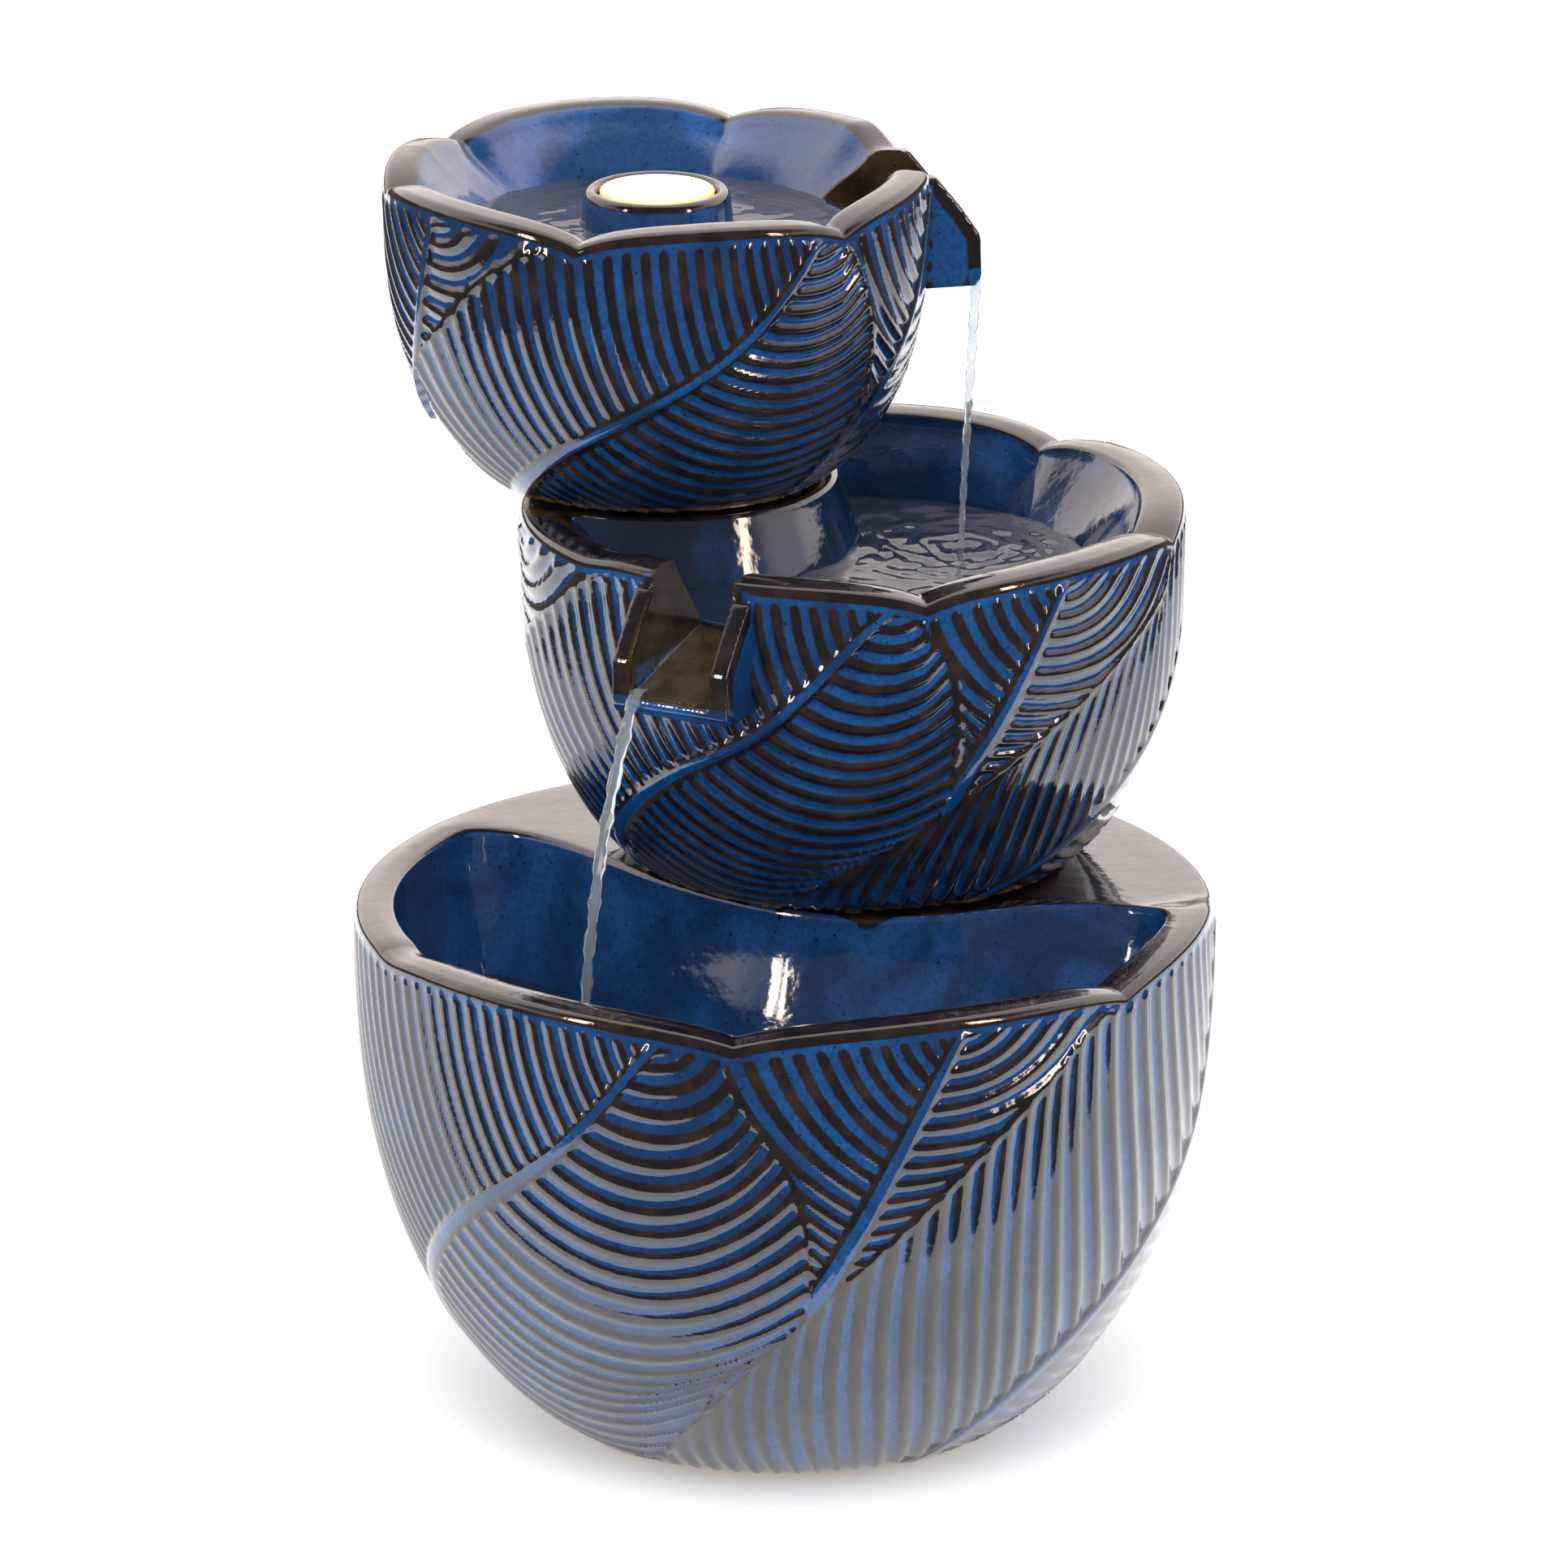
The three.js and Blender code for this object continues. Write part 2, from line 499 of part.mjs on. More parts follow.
function impeller() {
  const magnet = disc(ROTOR.magnet, ROTOR.magnetFront, ROTOR.magnetBack, 24);
  const hub = disc(ROTOR.hub, ROTOR.vaneFront, ROTOR.magnetFront + 0.2, 24);
  const plate = disc(ROTOR.disc, ROTOR.discFront, ROTOR.discBack, 24);
  const vane = block(
    ROTOR.hub - 1, ROTOR.disc, -ROTOR.vaneHalf, ROTOR.vaneHalf, ROTOR.vaneFront, ROTOR.discFront + 0.6,
  );
  let rotor = magnet.add(hub).add(plate);
  for (let i = 0; i < ROTOR.vanes; i += 1) {
    rotor = rotor.add(vane.rotate([0, 0, i * 360 / ROTOR.vanes]));
  }
  return pumpAxis(rotor.subtract(disc(ROTOR.bore, -40, 10, 16)));
}

const suctionCup = solid(turned([
  [0, 13.8], [3.2, 12.9], [6, 12.3], [6.2, 12.8], [3.6, 15.4], [2.4, 16.4], [2.4, 19], [0, 19],
], 20));

// ---------------------------------------------------------------- assembly
const fountain = new THREE.Group();

function add(name, shape, look) {
  const built = shape.getMesh();
  const geometry = new THREE.BufferGeometry();
  geometry.setAttribute('position', new THREE.BufferAttribute(new Float32Array(built.vertProperties), 3));
  geometry.setIndex(new THREE.BufferAttribute(new Uint32Array(built.triVerts), 1));
  geometry.computeVertexNormals();
  const mesh = new THREE.Mesh(geometry, look);
  mesh.name = name;
  fountain.add(mesh);
}

// Pads in a circle under a bowl, standing on the deck below it.
function addPads(name, bowl, pads, deck) {
  const pad = disc(pads.radius, deck + GAP, deck + GAP + PAD.height, 16);
  pads.angles.forEach((angle, i) => {
    const x = bowl.x + pads.circle * Math.cos(radians(angle));
    const y = bowl.y + pads.circle * Math.sin(radians(angle));
    add(`${name}_${i + 1}`, pad.translate([x, y, 0]), material(RUBBER, 0.8));
  });
}

add('base_basin', makeBase(), material(GLAZE, 0.12));
add('middle_bowl', makeMiddle(), material(GLAZE, 0.12));
add('top_bowl', makeTop(), material(GLAZE, 0.12));
add('foot_pad', disc(FOOT_PAD.radius, 0, FOOT_PAD.height, BOWL_STEPS), material(RUBBER, 0.9));
addPads('middle_pad', MIDDLE, PAD.middle, BASE.deck);
addPads('top_pad', TOP, PAD.top, MIDDLE.deck);

add('lamp_lens', lampLens(), material(0xfff6e6, 0.2));
add('lens_seal', lampPiece(ring(...LAMP.seal, LAMP.sealBottom, LAMP.sealTop)), material(RUBBER, 0.7));
add('lamp_reflector', reflector(), material(0xf2f2ee, 0.35));
add('led_board', lampPiece(disc(LAMP.board, LAMP.boardBottom, LAMP.boardTop)), material(0xe9ece8, 0.5));
add('led_emitter', ledEmitter(), material(0xffe9b0, 0.3));
add('lamp_housing', lampHousing(), material(BLACK_PLASTIC, 0.5));
add('lamp_gasket', lampPiece(ring(LAMP.step, 22, LAMP.ledge + GAP, LAMP.cupBottom - GAP)),
  material(RUBBER, 0.8));
add('lamp_washer', lampPiece(ring(LAMP.stem + 0.5, LAMP.washer, LAMP.washerBottom, LAMP.ledgeUnder - GAP)),
  material(RUBBER, 0.8));
add('lamp_nut', lampPiece(hexNut(LAMP.nut, LAMP.stem + 0.4, LAMP.nutBottom, LAMP.nutTop)),
  material(BLACK_PLASTIC, 0.5));
add('lamp_gland', lampPiece(ring(...LAMP.gland, LAMP.glandBottom, LAMP.glandTop, 24)),
  material(RUBBER, 0.7));

add('inlet_fitting', inletFitting(), material(BLACK_PLASTIC, 0.5));
add('inlet_washer',
  inletPiece(ring(INLET.body + 0.4, INLET.washer, INLET.washerBottom, INLET.washerTop, 24)),
  material(RUBBER, 0.8));
add('inlet_nut', inletPiece(hexNut(INLET.nut, INLET.body + 0.4, INLET.nutBottom, INLET.nutTop)),
  material(BLACK_PLASTIC, 0.5));
add('riser_hose', riserHose(), material(0xb9c3c8, 0.35));
add('hose_clamp', hoseClamp(), material(0xb8babd, 0.3, 1));
add('hose_grommet', hoseGrommet(), material(RUBBER, 0.7));

add('cord_gland', cordGland(), material(RUBBER, 0.6));
add('cord_gland_nut', inBaseWall(hexNut(GLAND.nut, GLAND.body + 0.4, GLAND.nutBack, GLAND.nutFace)),
  material(BLACK_PLASTIC, 0.5));

add('pump_body', pumpBody(), material(BLACK_PLASTIC, 0.45));
add('pump_chamber', pumpChamber(), material(BLACK_PLASTIC, 0.45));
add('pump_cover', pumpCover(), material(0x24262a, 0.5));
add('filter_foam', filterFoam(), material(0x2f3338, 0.95));
add('impeller', impeller(), material(0xe4e2da, 0.4));
add('impeller_shaft', pumpAxis(disc(SHAFT.radius, SHAFT.front, SHAFT.back, 16)), material(0xf4f2ee, 0.2));
add('front_bush', pumpAxis(ring(BUSH.bore, BUSH.front, BUSH.frontFrom, BUSH.frontTo, 20)),
  material(RUBBER, 0.7));
add('rear_bush', pumpAxis(ring(BUSH.bore, BUSH.rear, BUSH.rearFrom, BUSH.rearTo, 20)),
  material(RUBBER, 0.7));
add('flow_knob', flowKnob(), material(0x3a3d42, 0.5));
SUCTION_CUPS.forEach(([x, y], i) => {
  add(`suction_cup_${i + 1}`, suctionCup.translate([x, y, 0]), material(RUBBER, 0.6));
});
add('pump_gland', alongX(ring(1.9, 3.6, PUMP.bodyBack - 5.6, PUMP.bodyBack + 6, 20))
  .translate([0, PUMP.y, PUMP.axisHeight + PUMP.cordAbove]), material(RUBBER, 0.6));

export default fountain;
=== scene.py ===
"""Three-tier glazed ceramic tabletop fountain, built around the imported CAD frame.

Shapes are worked out in millimetres in the CAD frame (+Z up, front towards -Y) and written to
Blender in metres. Each bowl is one closed ceramic body with carved leaves on its outside.
"""
import math
from types import SimpleNamespace as Shape

import bpy
import numpy as np
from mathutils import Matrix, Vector


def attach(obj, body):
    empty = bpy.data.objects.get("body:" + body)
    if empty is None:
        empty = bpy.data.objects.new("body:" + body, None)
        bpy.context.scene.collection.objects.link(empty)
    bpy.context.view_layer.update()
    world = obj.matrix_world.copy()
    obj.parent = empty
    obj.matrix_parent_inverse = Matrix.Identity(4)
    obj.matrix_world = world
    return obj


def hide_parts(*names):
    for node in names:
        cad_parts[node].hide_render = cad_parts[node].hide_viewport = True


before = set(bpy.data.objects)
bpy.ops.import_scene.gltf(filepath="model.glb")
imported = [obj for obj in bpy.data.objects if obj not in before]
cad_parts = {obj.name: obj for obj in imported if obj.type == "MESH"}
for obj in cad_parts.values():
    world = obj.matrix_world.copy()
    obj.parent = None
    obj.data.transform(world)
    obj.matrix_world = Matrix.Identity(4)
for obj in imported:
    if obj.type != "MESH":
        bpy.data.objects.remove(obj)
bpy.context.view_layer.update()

MM = 0.001

# ---------------------------------------------------------------- the three bowls
# at: centre. bottom, level, deck: heights of the foot, of the notches and of the flat shelf.
# foot, rim: radii of the wall. notches: directions of the dips between petals, in degrees.
# arch, notch_width: how high a petal stands and how wide a dip is. flat: middle and half width of
# the stretch of rim that is level, in degrees, and its lift above the notches.
# columns, step: how finely the wall is divided. depth, midrib: of the carved ribs and midribs.
BASE = Shape(
    at=(0, 0), bottom=2, level=214, deck=218, foot=92, rim=175,
    arch=8, notch_width=9, notches=(-158, -96.7, -38.8), flat=(100, 98, 4),
    columns=860, step=1.3, depth=1.2, midrib=3.4,
)
MIDDLE = Shape(
    at=(28, 64), bottom=220, level=363, deck=368, foot=88, rim=136,
    arch=8, notch_width=8, notches=(-77.7, -17, 49), flat=(160, 55, 5),
    columns=690, step=1.25, depth=1.35, midrib=3.0,
)
TOP = Shape(
    at=(-52, 107), bottom=370, level=491.6, deck=491.6, foot=68, rim=112,
    arch=8, notch_width=9, notches=(-47, -106.4, -172.5, 144, 74), flat=(14, 12, 1),
    columns=580, step=1.2, depth=1.3, midrib=2.7,
)
WALL = 9
EDGE_HALF = 0.6
FLAT_BLEND = 12

WELL_RADIUS = 158.5
WELL_ENDS = (-12, 147)
WELL_BACK = (
    (148, -20), (130, -12), (100, -13), (66, -24), (30, -27), (0, -17),
    (-30, 3), (-56, 27), (-76, 51), (-96, 72), (-114, 84),
)
CURTAIN_BOTTOM = 70
PEDESTAL = (-49, 107)
MIDDLE_LEVELS = (
    (0, 118, 72.5), (-8, 111, 75.3), (-23, 98, 81.3), (-38, 88, 85), (-54, 76, 88), (-66, 60, 92),
)
WATER = dict(base=160, middle=340, top=474)
SPOUTS = dict(
    middle=Shape(bowl=MIDDLE, angle=-118.5, floor=-26, root=92),
    top=Shape(bowl=TOP, angle=14, floor=-22, root=74),
)
SPOUT_BLOCK = ((0, 0), (10, -12.5), (18.5, -25), (19.5, -43), (17, -47))
SPOUT_LIP, SPOUT_TOP, SPOUT_CHEEK, SPOUT_WIDTH = -40, 30, 8, 36
SPOUT_REACH, SPOUT_LEVEL = 19.5, 8     # how far the lip stands out, and the level start of the channel

BASE_FLOOR = 12                        # top of the base's bottom, above the floor
BASE_CEILING = 208                     # underside of the base's shelf
WELL_FLARE = 19                        # how far the well's wall leans in on its way down
MIDDLE_CEILING = 339                   # top of the hollow inside the middle bowl's wall
MIDDLE_DEPTH = 66                      # depth of the middle basin below the notches
HOSE_HOLES = dict(base=((-30, 70), 12), middle=((-48, 64), 16))
LUNE_ENDS = (113, 189)                 # directions between which the middle basin follows the seat
INLET_AT, INLET_HOLE = (-52, 60), 5.9
CORD_HOLE = Shape(direction=78, height=188, radius=6.2, near=140, far=200)

# ---------------------------------------------------------------- leaves
# A leaf is a midrib and two edges, from its base up, as (degrees, share of the wall height). Both
# edges end at the last point of the midrib, the leaf's tip. ribs: how many on the left and right.
# bend: how far a rib bows, as a share of its length. spread: how the rib ends on the edge crowd
# towards the tip (1 is even). foot: where the lowest ribs on the left start, along the wall's foot.
# Neighbouring leaves share an edge, so each shared edge is written once.
BASE_FRONT_EDGE = ((-87, .45), (-88, .7), (-97, 1))
BASE_RIGHT_EDGE = ((-87, .45), (-70, .68), (-55, .85), (-39, 1))
BASE_LEAVES = (
    dict(
        mid=((-176, 0), (-165, .24), (-145, .51), (-120, .77), (-106, 1)),
        left=((-190, 0), (-206, .5), (-182, 1)),
        right=((-176, 0), (-118, .03), (-100, .28), *BASE_FRONT_EDGE),
        ribs=(40, 31), bend=(.06, .24), spread=(.55, .62),
    ),
    dict(
        mid=((-87, .45), (-80, .64), (-74, .8), (-66, 1)),
        left=BASE_FRONT_EDGE,
        right=BASE_RIGHT_EDGE,
        ribs=(19, 17), bend=(.1, .16), spread=(.6, .75),
    ),
    dict(
        mid=((-58, 0), (-45, .2), (-25, .44), (-9, .67), (-3, 1)),
        left=((-122, 0), (-105, .19), *BASE_RIGHT_EDGE),
        right=((-58, 0), (-30, .05), (5, .32), (22, .7), (18, 1)),
        foot=((-119, 0), (-90, 0)), ribs=(33, 26), bend=(.07, .2), spread=(.66, .7),
    ),
)
MIDDLE_LEFT_EDGE = ((-180, .6), (-155, .83), (-134, 1))
MIDDLE_FRONT_EDGE = ((-74, .36), (-72, .55), (-73, .8), (-78, 1))
MIDDLE_RIGHT_EDGE = ((-74, .36), (-57, .56), (-40, .72), (-24, .86), (-17, 1))
MIDDLE_LEAVES = (
    dict(
        mid=((-196, .5), (-186, .78), (-172, 1)),
        left=((-200, .45), (-208, .7), (-206, 1)),
        right=((-196, .5), *MIDDLE_LEFT_EDGE),
        ribs=(8, 12), bend=(.1, .2), spread=(.8, .7),
    ),
    dict(
        mid=((-158, 0), (-147, .18), (-125, .45), (-105, .65), (-83, 1)),
        left=((-168, 0), (-184, .35), *MIDDLE_LEFT_EDGE),
        right=((-158, 0), (-112, 0), (-90, .18), *MIDDLE_FRONT_EDGE),
        ribs=(29, 27), bend=(.06, .22), spread=(.55, .6),
    ),
    dict(
        mid=((-74, .36), (-66, .6), (-51, 1)),
        left=MIDDLE_FRONT_EDGE,
        right=MIDDLE_RIGHT_EDGE,
        ribs=(15, 15), bend=(.1, .18), spread=(.65, .75),
    ),
    dict(
        mid=((-60, 0), (-30, .27), (-3, .64), (10, 1)),
        left=((-116, 0), (-90, .18), *MIDDLE_RIGHT_EDGE),
        right=((-60, 0), (-35, .03), (12, .35), (30, .8), (26, 1)),
        foot=((-113, 0), (-90, 0)), ribs=(29, 20), bend=(.07, .2), spread=(.66, .7),
    ),
)
TOP_LEFT_EDGE = ((-157, .46), (-140, .68), (-125, .87), (-106, 1))
TOP_RIGHT_EDGE = ((-42, .18), (-36, .4), (-38, .7), (-47, 1))
TOP_LEAVES = (
    dict(
        mid=((-172, .2), (-155, .52), (-142, 1)),
        left=((-174, .2), (-197, .6), (-178, 1)),
        right=((-172, .2), *TOP_LEFT_EDGE),
        ribs=(15, 14), bend=(.1, .2), spread=(.7, .8),
    ),
    dict(
        mid=((-54, 0), (-33, .3), (-20, .6), (-8, 1)),
        left=((-54, 0), *TOP_RIGHT_EDGE),
        right=((-54, 0), (-25, .1), (5, .6), (12, 1)),
        ribs=(20, 16), bend=(.1, .18), spread=(.7, .7),
    ),
    dict(
        mid=((-142, 0), (-115, .24), (-80, .57), (-62, .81), (-53, 1)),
        left=((-144, 0), (-155, .25), *TOP_LEFT_EDGE),
        right=((-142, 0), (-56, 0), *TOP_RIGHT_EDGE),
        ribs=(29, 28), bend=(.05, .16), spread=(.55, .6),
    ),
)


def smooth(t):
    t = np.clip(t, 0, 1)
    return t * t * (3 - 2 * t)


def apart(a, b):
    """Degrees between two directions."""
    return np.abs((np.asarray(a) - b + 540) % 360 - 180)


def outer_radius(bowl, share):
    """Outer radius of the wall at a share of its height, steep at the foot and upright at the rim."""
    share = np.clip(share, 0, 1)
    return bowl.foot + (bowl.rim - bowl.foot) * (1 - (1 - share) ** 2.6) ** 0.75


def to_notch(bowl, angle):
    """Degrees between a direction and the nearest notch in the rim."""
    return np.min([apart(angle, n) for n in bowl.notches], axis=0)


def rim_lift(bowl, angle):
    """How far the petal edge stands above the level of its notches."""
    petal = bowl.arch * (1 - np.exp(-to_notch(bowl, angle) / bowl.notch_width))
    middle, half, lift = bowl.flat
    flat = smooth((apart(angle, middle) - half) / FLAT_BLEND)
    return lift + (petal - lift) * flat


def curve(points, count):
    """A smooth line through a few points, evenly spaced by length."""
    p = np.asarray(points, float)
    padded = np.vstack([2 * p[0] - p[1], p, 2 * p[-1] - p[-2]])
    t = np.linspace(0, 1, 9)[:-1, None]
    parts = []
    for i in range(len(p) - 1):
        a, b, c, d = padded[i:i + 4]
        parts.append(0.5 * (2 * b + (c - a) * t + (2 * a - 5 * b + 4 * c - d) * t**2
                            + (3 * b - a - 3 * c + d) * t**3))
    line = np.vstack(parts + [p[-1:]])
    run = np.concatenate([[0], np.cumsum(np.hypot(*np.diff(line, axis=0).T))])
    want = np.linspace(0, run[-1], count)
    return np.stack([np.interp(want, run, line[:, k]) for k in (0, 1)], 1)


# ---------------------------------------------------------------- carved relief
class Chart:
    """The outer wall unrolled: columns round the bowl, rows up the wall, both in millimetres."""

    def __init__(self, bowl):
        self.bowl = bowl
        self.height = bowl.level - bowl.bottom
        fine = np.linspace(0, 1, 400)
        radius = outer_radius(bowl, fine)
        run = np.concatenate([[0], np.cumsum(np.hypot(np.diff(radius), np.diff(fine) * self.height))])
        rows = int(run[-1] / bowl.step)
        self.along = np.linspace(0, run[-1], rows)
        self.share = np.interp(self.along, run, fine)
        self.radius = outer_radius(bowl, self.share)
        self.angle = np.linspace(-180, 180, bowl.columns, endpoint=False)
        self.run_of = lambda share: np.interp(share, fine, run)
        self.scale = math.radians(0.9 * bowl.rim)
        slope = np.gradient(self.radius, self.along)
        rise = np.gradient(self.share * self.height, self.along)
        self.normal = np.stack([rise, -slope], 1) / np.hypot(rise, slope)[:, None]

    def line(self, points, count):
        """A few (degrees, share) points as an even line of (degrees, millimetres up)."""
        flat = [(a * self.scale, self.run_of(u)) for a, u in points]
        smooth_line = curve(flat, count)
        smooth_line[:, 0] /= self.scale
        return smooth_line

    def distance(self, line, widths, reach, out):
        """Lowers out to the distance from a line in widths, on the chart within reach of it."""
        degrees = reach / math.radians(self.bowl.foot * 0.95)
        low, high = line.min(0), line.max(0)
        rows = slice(*np.searchsorted(self.along, (low[1] - reach, high[1] + reach)))
        if rows.start >= rows.stop:
            return
        span = high[0] - low[0] + 2 * degrees
        offset = (self.angle - (low[0] - degrees)) % 360
        columns = np.nonzero(offset < span)[0]
        angle = offset[columns] + low[0] - degrees
        to_mm = np.radians(self.radius[rows])[:, None]
        best = out[rows, columns[0]:columns[0] + 1].repeat(len(columns), 1) * 0 + 1e9
        for (a0, s0), (a1, s1), w0, w1 in zip(line[:-1], line[1:], widths[:-1], widths[1:]):
            ex, ey = (a1 - a0) * to_mm, s1 - s0
            px, py = (angle - a0) * to_mm, (self.along[rows] - s0)[:, None]
            t = np.clip((px * ex + py * ey) / np.maximum(ex * ex + ey * ey, 1e-9), 0, 1)
            np.minimum(best, np.hypot(px - t * ex, py - t * ey) / (w0 + (w1 - w0) * t), out=best)
        block = np.ix_(np.arange(rows.start, rows.stop), columns)
        out[block] = np.minimum(out[block], best)

    def inside(self, outline):
        """Which points of the chart lie inside a closed outline of (degrees, millimetres)."""
        middle = (outline[:, 0].min() + outline[:, 0].max()) / 2
        angle = (self.angle - middle + 180) % 360 - 180 + middle
        x, y = np.meshgrid(angle, self.along)
        found = np.zeros(x.shape, bool)
        for (x0, y0), (x1, y1) in zip(outline, np.roll(outline, -1, axis=0)):
            if y0 == y1:
                continue
            crosses = (y < y0) != (y < y1)
            found ^= crosses & (x < x0 + (y - y0) * (x1 - x0) / (y1 - y0))
        return found


def shifted(points, turn):
    return [(a + turn, u) for a, u in points]


def rib_lines(chart, feet, edge, count, bend, spread):
    """Ribs from a line of feet to one edge, bowed away from the tip, with half the gap between them."""
    steps = np.linspace(0, 1, count * 4)
    t = (np.arange(count) + 0.5) / count
    ends = []
    for points, where in ((feet, t), (edge, t**spread)):
        line = chart.line(points, count * 4) * (chart.scale, 1)
        ends.append(np.stack([np.interp(where, steps, line[:, i]) for i in (0, 1)], 1))
    a, b = (end[:, None, :] for end in ends)
    bow = np.linspace(0, 1, 13)[None, :, None]
    across = np.stack([b[..., 1] - a[..., 1], a[..., 0] - b[..., 0]], -1) * bend
    lines = (a + (b - a) * bow + across * 4 * bow * (1 - bow)) / (chart.scale, 1)
    true_scale = np.radians(np.interp(lines[..., 1], chart.along, chart.radius))
    flat = np.stack([lines[..., 0] * true_scale, lines[..., 1]], -1)
    along = np.gradient(flat, axis=1)
    along /= np.maximum(np.linalg.norm(along, axis=2), 1e-6)[..., None]
    step = np.diff(lines, axis=0) * np.stack([true_scale[1:], np.ones_like(true_scale[1:])], -1)
    gaps = np.abs(step[..., 0] * along[1:, :, 1] - step[..., 1] * along[1:, :, 0])
    half = 0.25 * (np.vstack([gaps[:1], gaps]) + np.vstack([gaps, gaps[-1:]]))
    return lines, np.clip(half, 1.1, 5.5)


def relief(chart, leaves, turn):
    """Height of the carving in millimetres, and how much of each point is a raised ridge."""
    shape = (len(chart.along), len(chart.angle))
    height, ridge = np.zeros(shape), np.zeros(shape)
    depth, midrib = chart.bowl.depth, chart.bowl.midrib
    for leaf_turn in (turn, 0):
        for leaf in leaves:
            mid = shifted(leaf["mid"], leaf_turn)
            left, right = (shifted(leaf[k], leaf_turn) + mid[-1:] for k in ("left", "right"))
            outline = np.vstack([chart.line(left, 60), chart.line(right, 60)[::-1]])
            area = chart.inside(outline)
            ribs, middle, edge = np.full(shape, 1.2), np.full(shape, 9.0), np.full(shape, 9.0)
            for side, sign, border in ((0, -1, left), (1, 1, right)):
                feet = mid if side else shifted(leaf.get("foot", ()), leaf_turn) + mid
                lines, half = rib_lines(chart, feet, border, leaf["ribs"][side],
                                        sign * leaf["bend"][side], leaf["spread"][side])
                for line, widths in zip(lines, half):
                    chart.distance(line, widths, widths.max() * 1.2, ribs)
                chart.distance(chart.line(border, 60), np.ones(60), 9.0, edge)
            chart.distance(chart.line(mid, 40), np.linspace(1.3, 0.5, 40), 9.0, middle)
            crest = 0.5 + 0.5 * np.cos(np.pi * np.clip(ribs, 0, 1))
            beside_midrib = smooth((midrib + 2.9 - middle) / 1.7)
            at_edge = smooth((EDGE_HALF + 1.9 - edge) / 1.6)
            body = np.max([crest, beside_midrib, 0.85 * at_edge], axis=0)
            band = smooth((midrib + 0.6 - middle) / 2.2)
            shape_here = depth * (body + 0.55 * band - 0.5) + 0.9 * np.exp(-edge / 5.0)
            top_of_band = smooth((midrib + 0.1 - middle) / 1.0)
            height = np.where(area, shape_here, height)
            ridge = np.where(area, body * (1 - top_of_band), ridge)
    near_rim = smooth((chart.along[-1] - chart.along - 1.0) / 4.0)[:, None]
    near_foot = smooth(chart.along / 3.0)[:, None]
    return height * near_rim * near_foot, ridge * near_rim


# ---------------------------------------------------------------- solids
def closed_grid(name, rows, ends=None):
    """A closed surface from rings of points, shut by fans to two end points or joined end to end."""
    rows = np.asarray(rows, float)
    count, around = rows.shape[:2]
    points = rows.reshape(-1, 3)
    i, j = np.meshgrid(np.arange(count if ends is None else count - 1), np.arange(around), indexing="ij")
    after, above = (j + 1) % around, (i + 1) % count
    corners = [i * around + j, i * around + after, above * around + after, above * around + j]
    faces = np.stack(corners, -1).reshape(-1, 4).tolist()
    if ends is not None:
        low, high, last = len(points), len(points) + 1, (count - 1) * around
        points = np.vstack([points, ends])
        faces += [(low, (k + 1) % around, k) for k in range(around)]
        faces += [(high, last + k, last + (k + 1) % around) for k in range(around)]
    return new_object(name, points, faces)


def placed(name, data):
    obj = bpy.data.objects.new(name, data)
    bpy.context.collection.objects.link(obj)
    return obj


def new_object(name, points, faces):
    mesh = bpy.data.meshes.new(name)
    mesh.from_pydata((np.asarray(points) * MM).tolist(), [], faces)
    return placed(name, mesh)


def turned(name, centre, profile, steps=96):
    """A solid of revolution from a profile of (radius, height) that goes up the outside."""
    angle = np.radians(np.linspace(-180, 180, steps, endpoint=False))
    rows = [ring(centre, angle, r, z) for r, z in profile]
    ends = [(*centre, profile[0][1]), (*centre, profile[-1][1])]
    return closed_grid(name, rows, ends)


def ring(centre, angle, radius, height):
    radius, height = np.broadcast_to(radius, angle.shape), np.broadcast_to(height, angle.shape)
    return np.stack([centre[0] + radius * np.cos(angle), centre[1] + radius * np.sin(angle), height], -1)


def side_faces(count):
    """Faces of a solid between two copies of an outline of count points."""
    sides = [(k, (k + 1) % count, (k + 1) % count + count, k + count) for k in range(count)]
    return sides + [tuple(range(count))[::-1], tuple(range(count, 2 * count))]


def heading(degrees):
    """Unit vectors on the plan towards a direction and across it."""
    a = math.radians(degrees)
    return np.array([math.cos(a), math.sin(a)]), np.array([-math.sin(a), math.cos(a)])


def prism(name, loop, low, high):
    """A solid between two heights over a counterclockwise loop of (x, y)."""
    loop = np.asarray(loop, float)
    rows = [np.column_stack([loop, np.full(len(loop), z)]) for z in (low, high)]
    return new_object(name, np.vstack(rows), side_faces(len(loop)))


def bake(obj):
    """Makes the modifiers of an object part of its mesh."""
    made = bpy.data.meshes.new_from_object(obj.evaluated_get(bpy.context.evaluated_depsgraph_get()))
    obj.modifiers.clear()
    old, obj.data = obj.data, made
    bpy.data.meshes.remove(old)


def combine(target, tool, operation="DIFFERENCE"):
    """Cuts a tool from a solid, or joins it on with UNION. The tool is used up."""
    step = target.modifiers.new("solid", "BOOLEAN")
    step.operation, step.solver, step.object = operation, "MANIFOLD", tool
    bake(target)
    bpy.data.objects.remove(tool)
    return target


def rounded(loop, width):
    """A closed loop with its corners softened over a number of columns."""
    wave = np.fft.fftfreq(len(loop))
    soft = np.exp(-2 * (np.pi * wave * width) ** 2)[:, None]
    return np.real(np.fft.ifft(np.fft.fft(loop, axis=0) * soft, axis=0))


def pushed(loop, distance):
    """A counterclockwise loop moved outward."""
    along = np.roll(loop, -1, axis=0) - np.roll(loop, 1, axis=0)
    along /= np.linalg.norm(along, axis=1)[:, None]
    return loop + np.reshape(distance, (-1, 1)) * np.stack([along[:, 1], -along[:, 0]], 1)


# ---------------------------------------------------------------- bowls
RIM_ROUND, WELL_ROUND = 3.8, 3


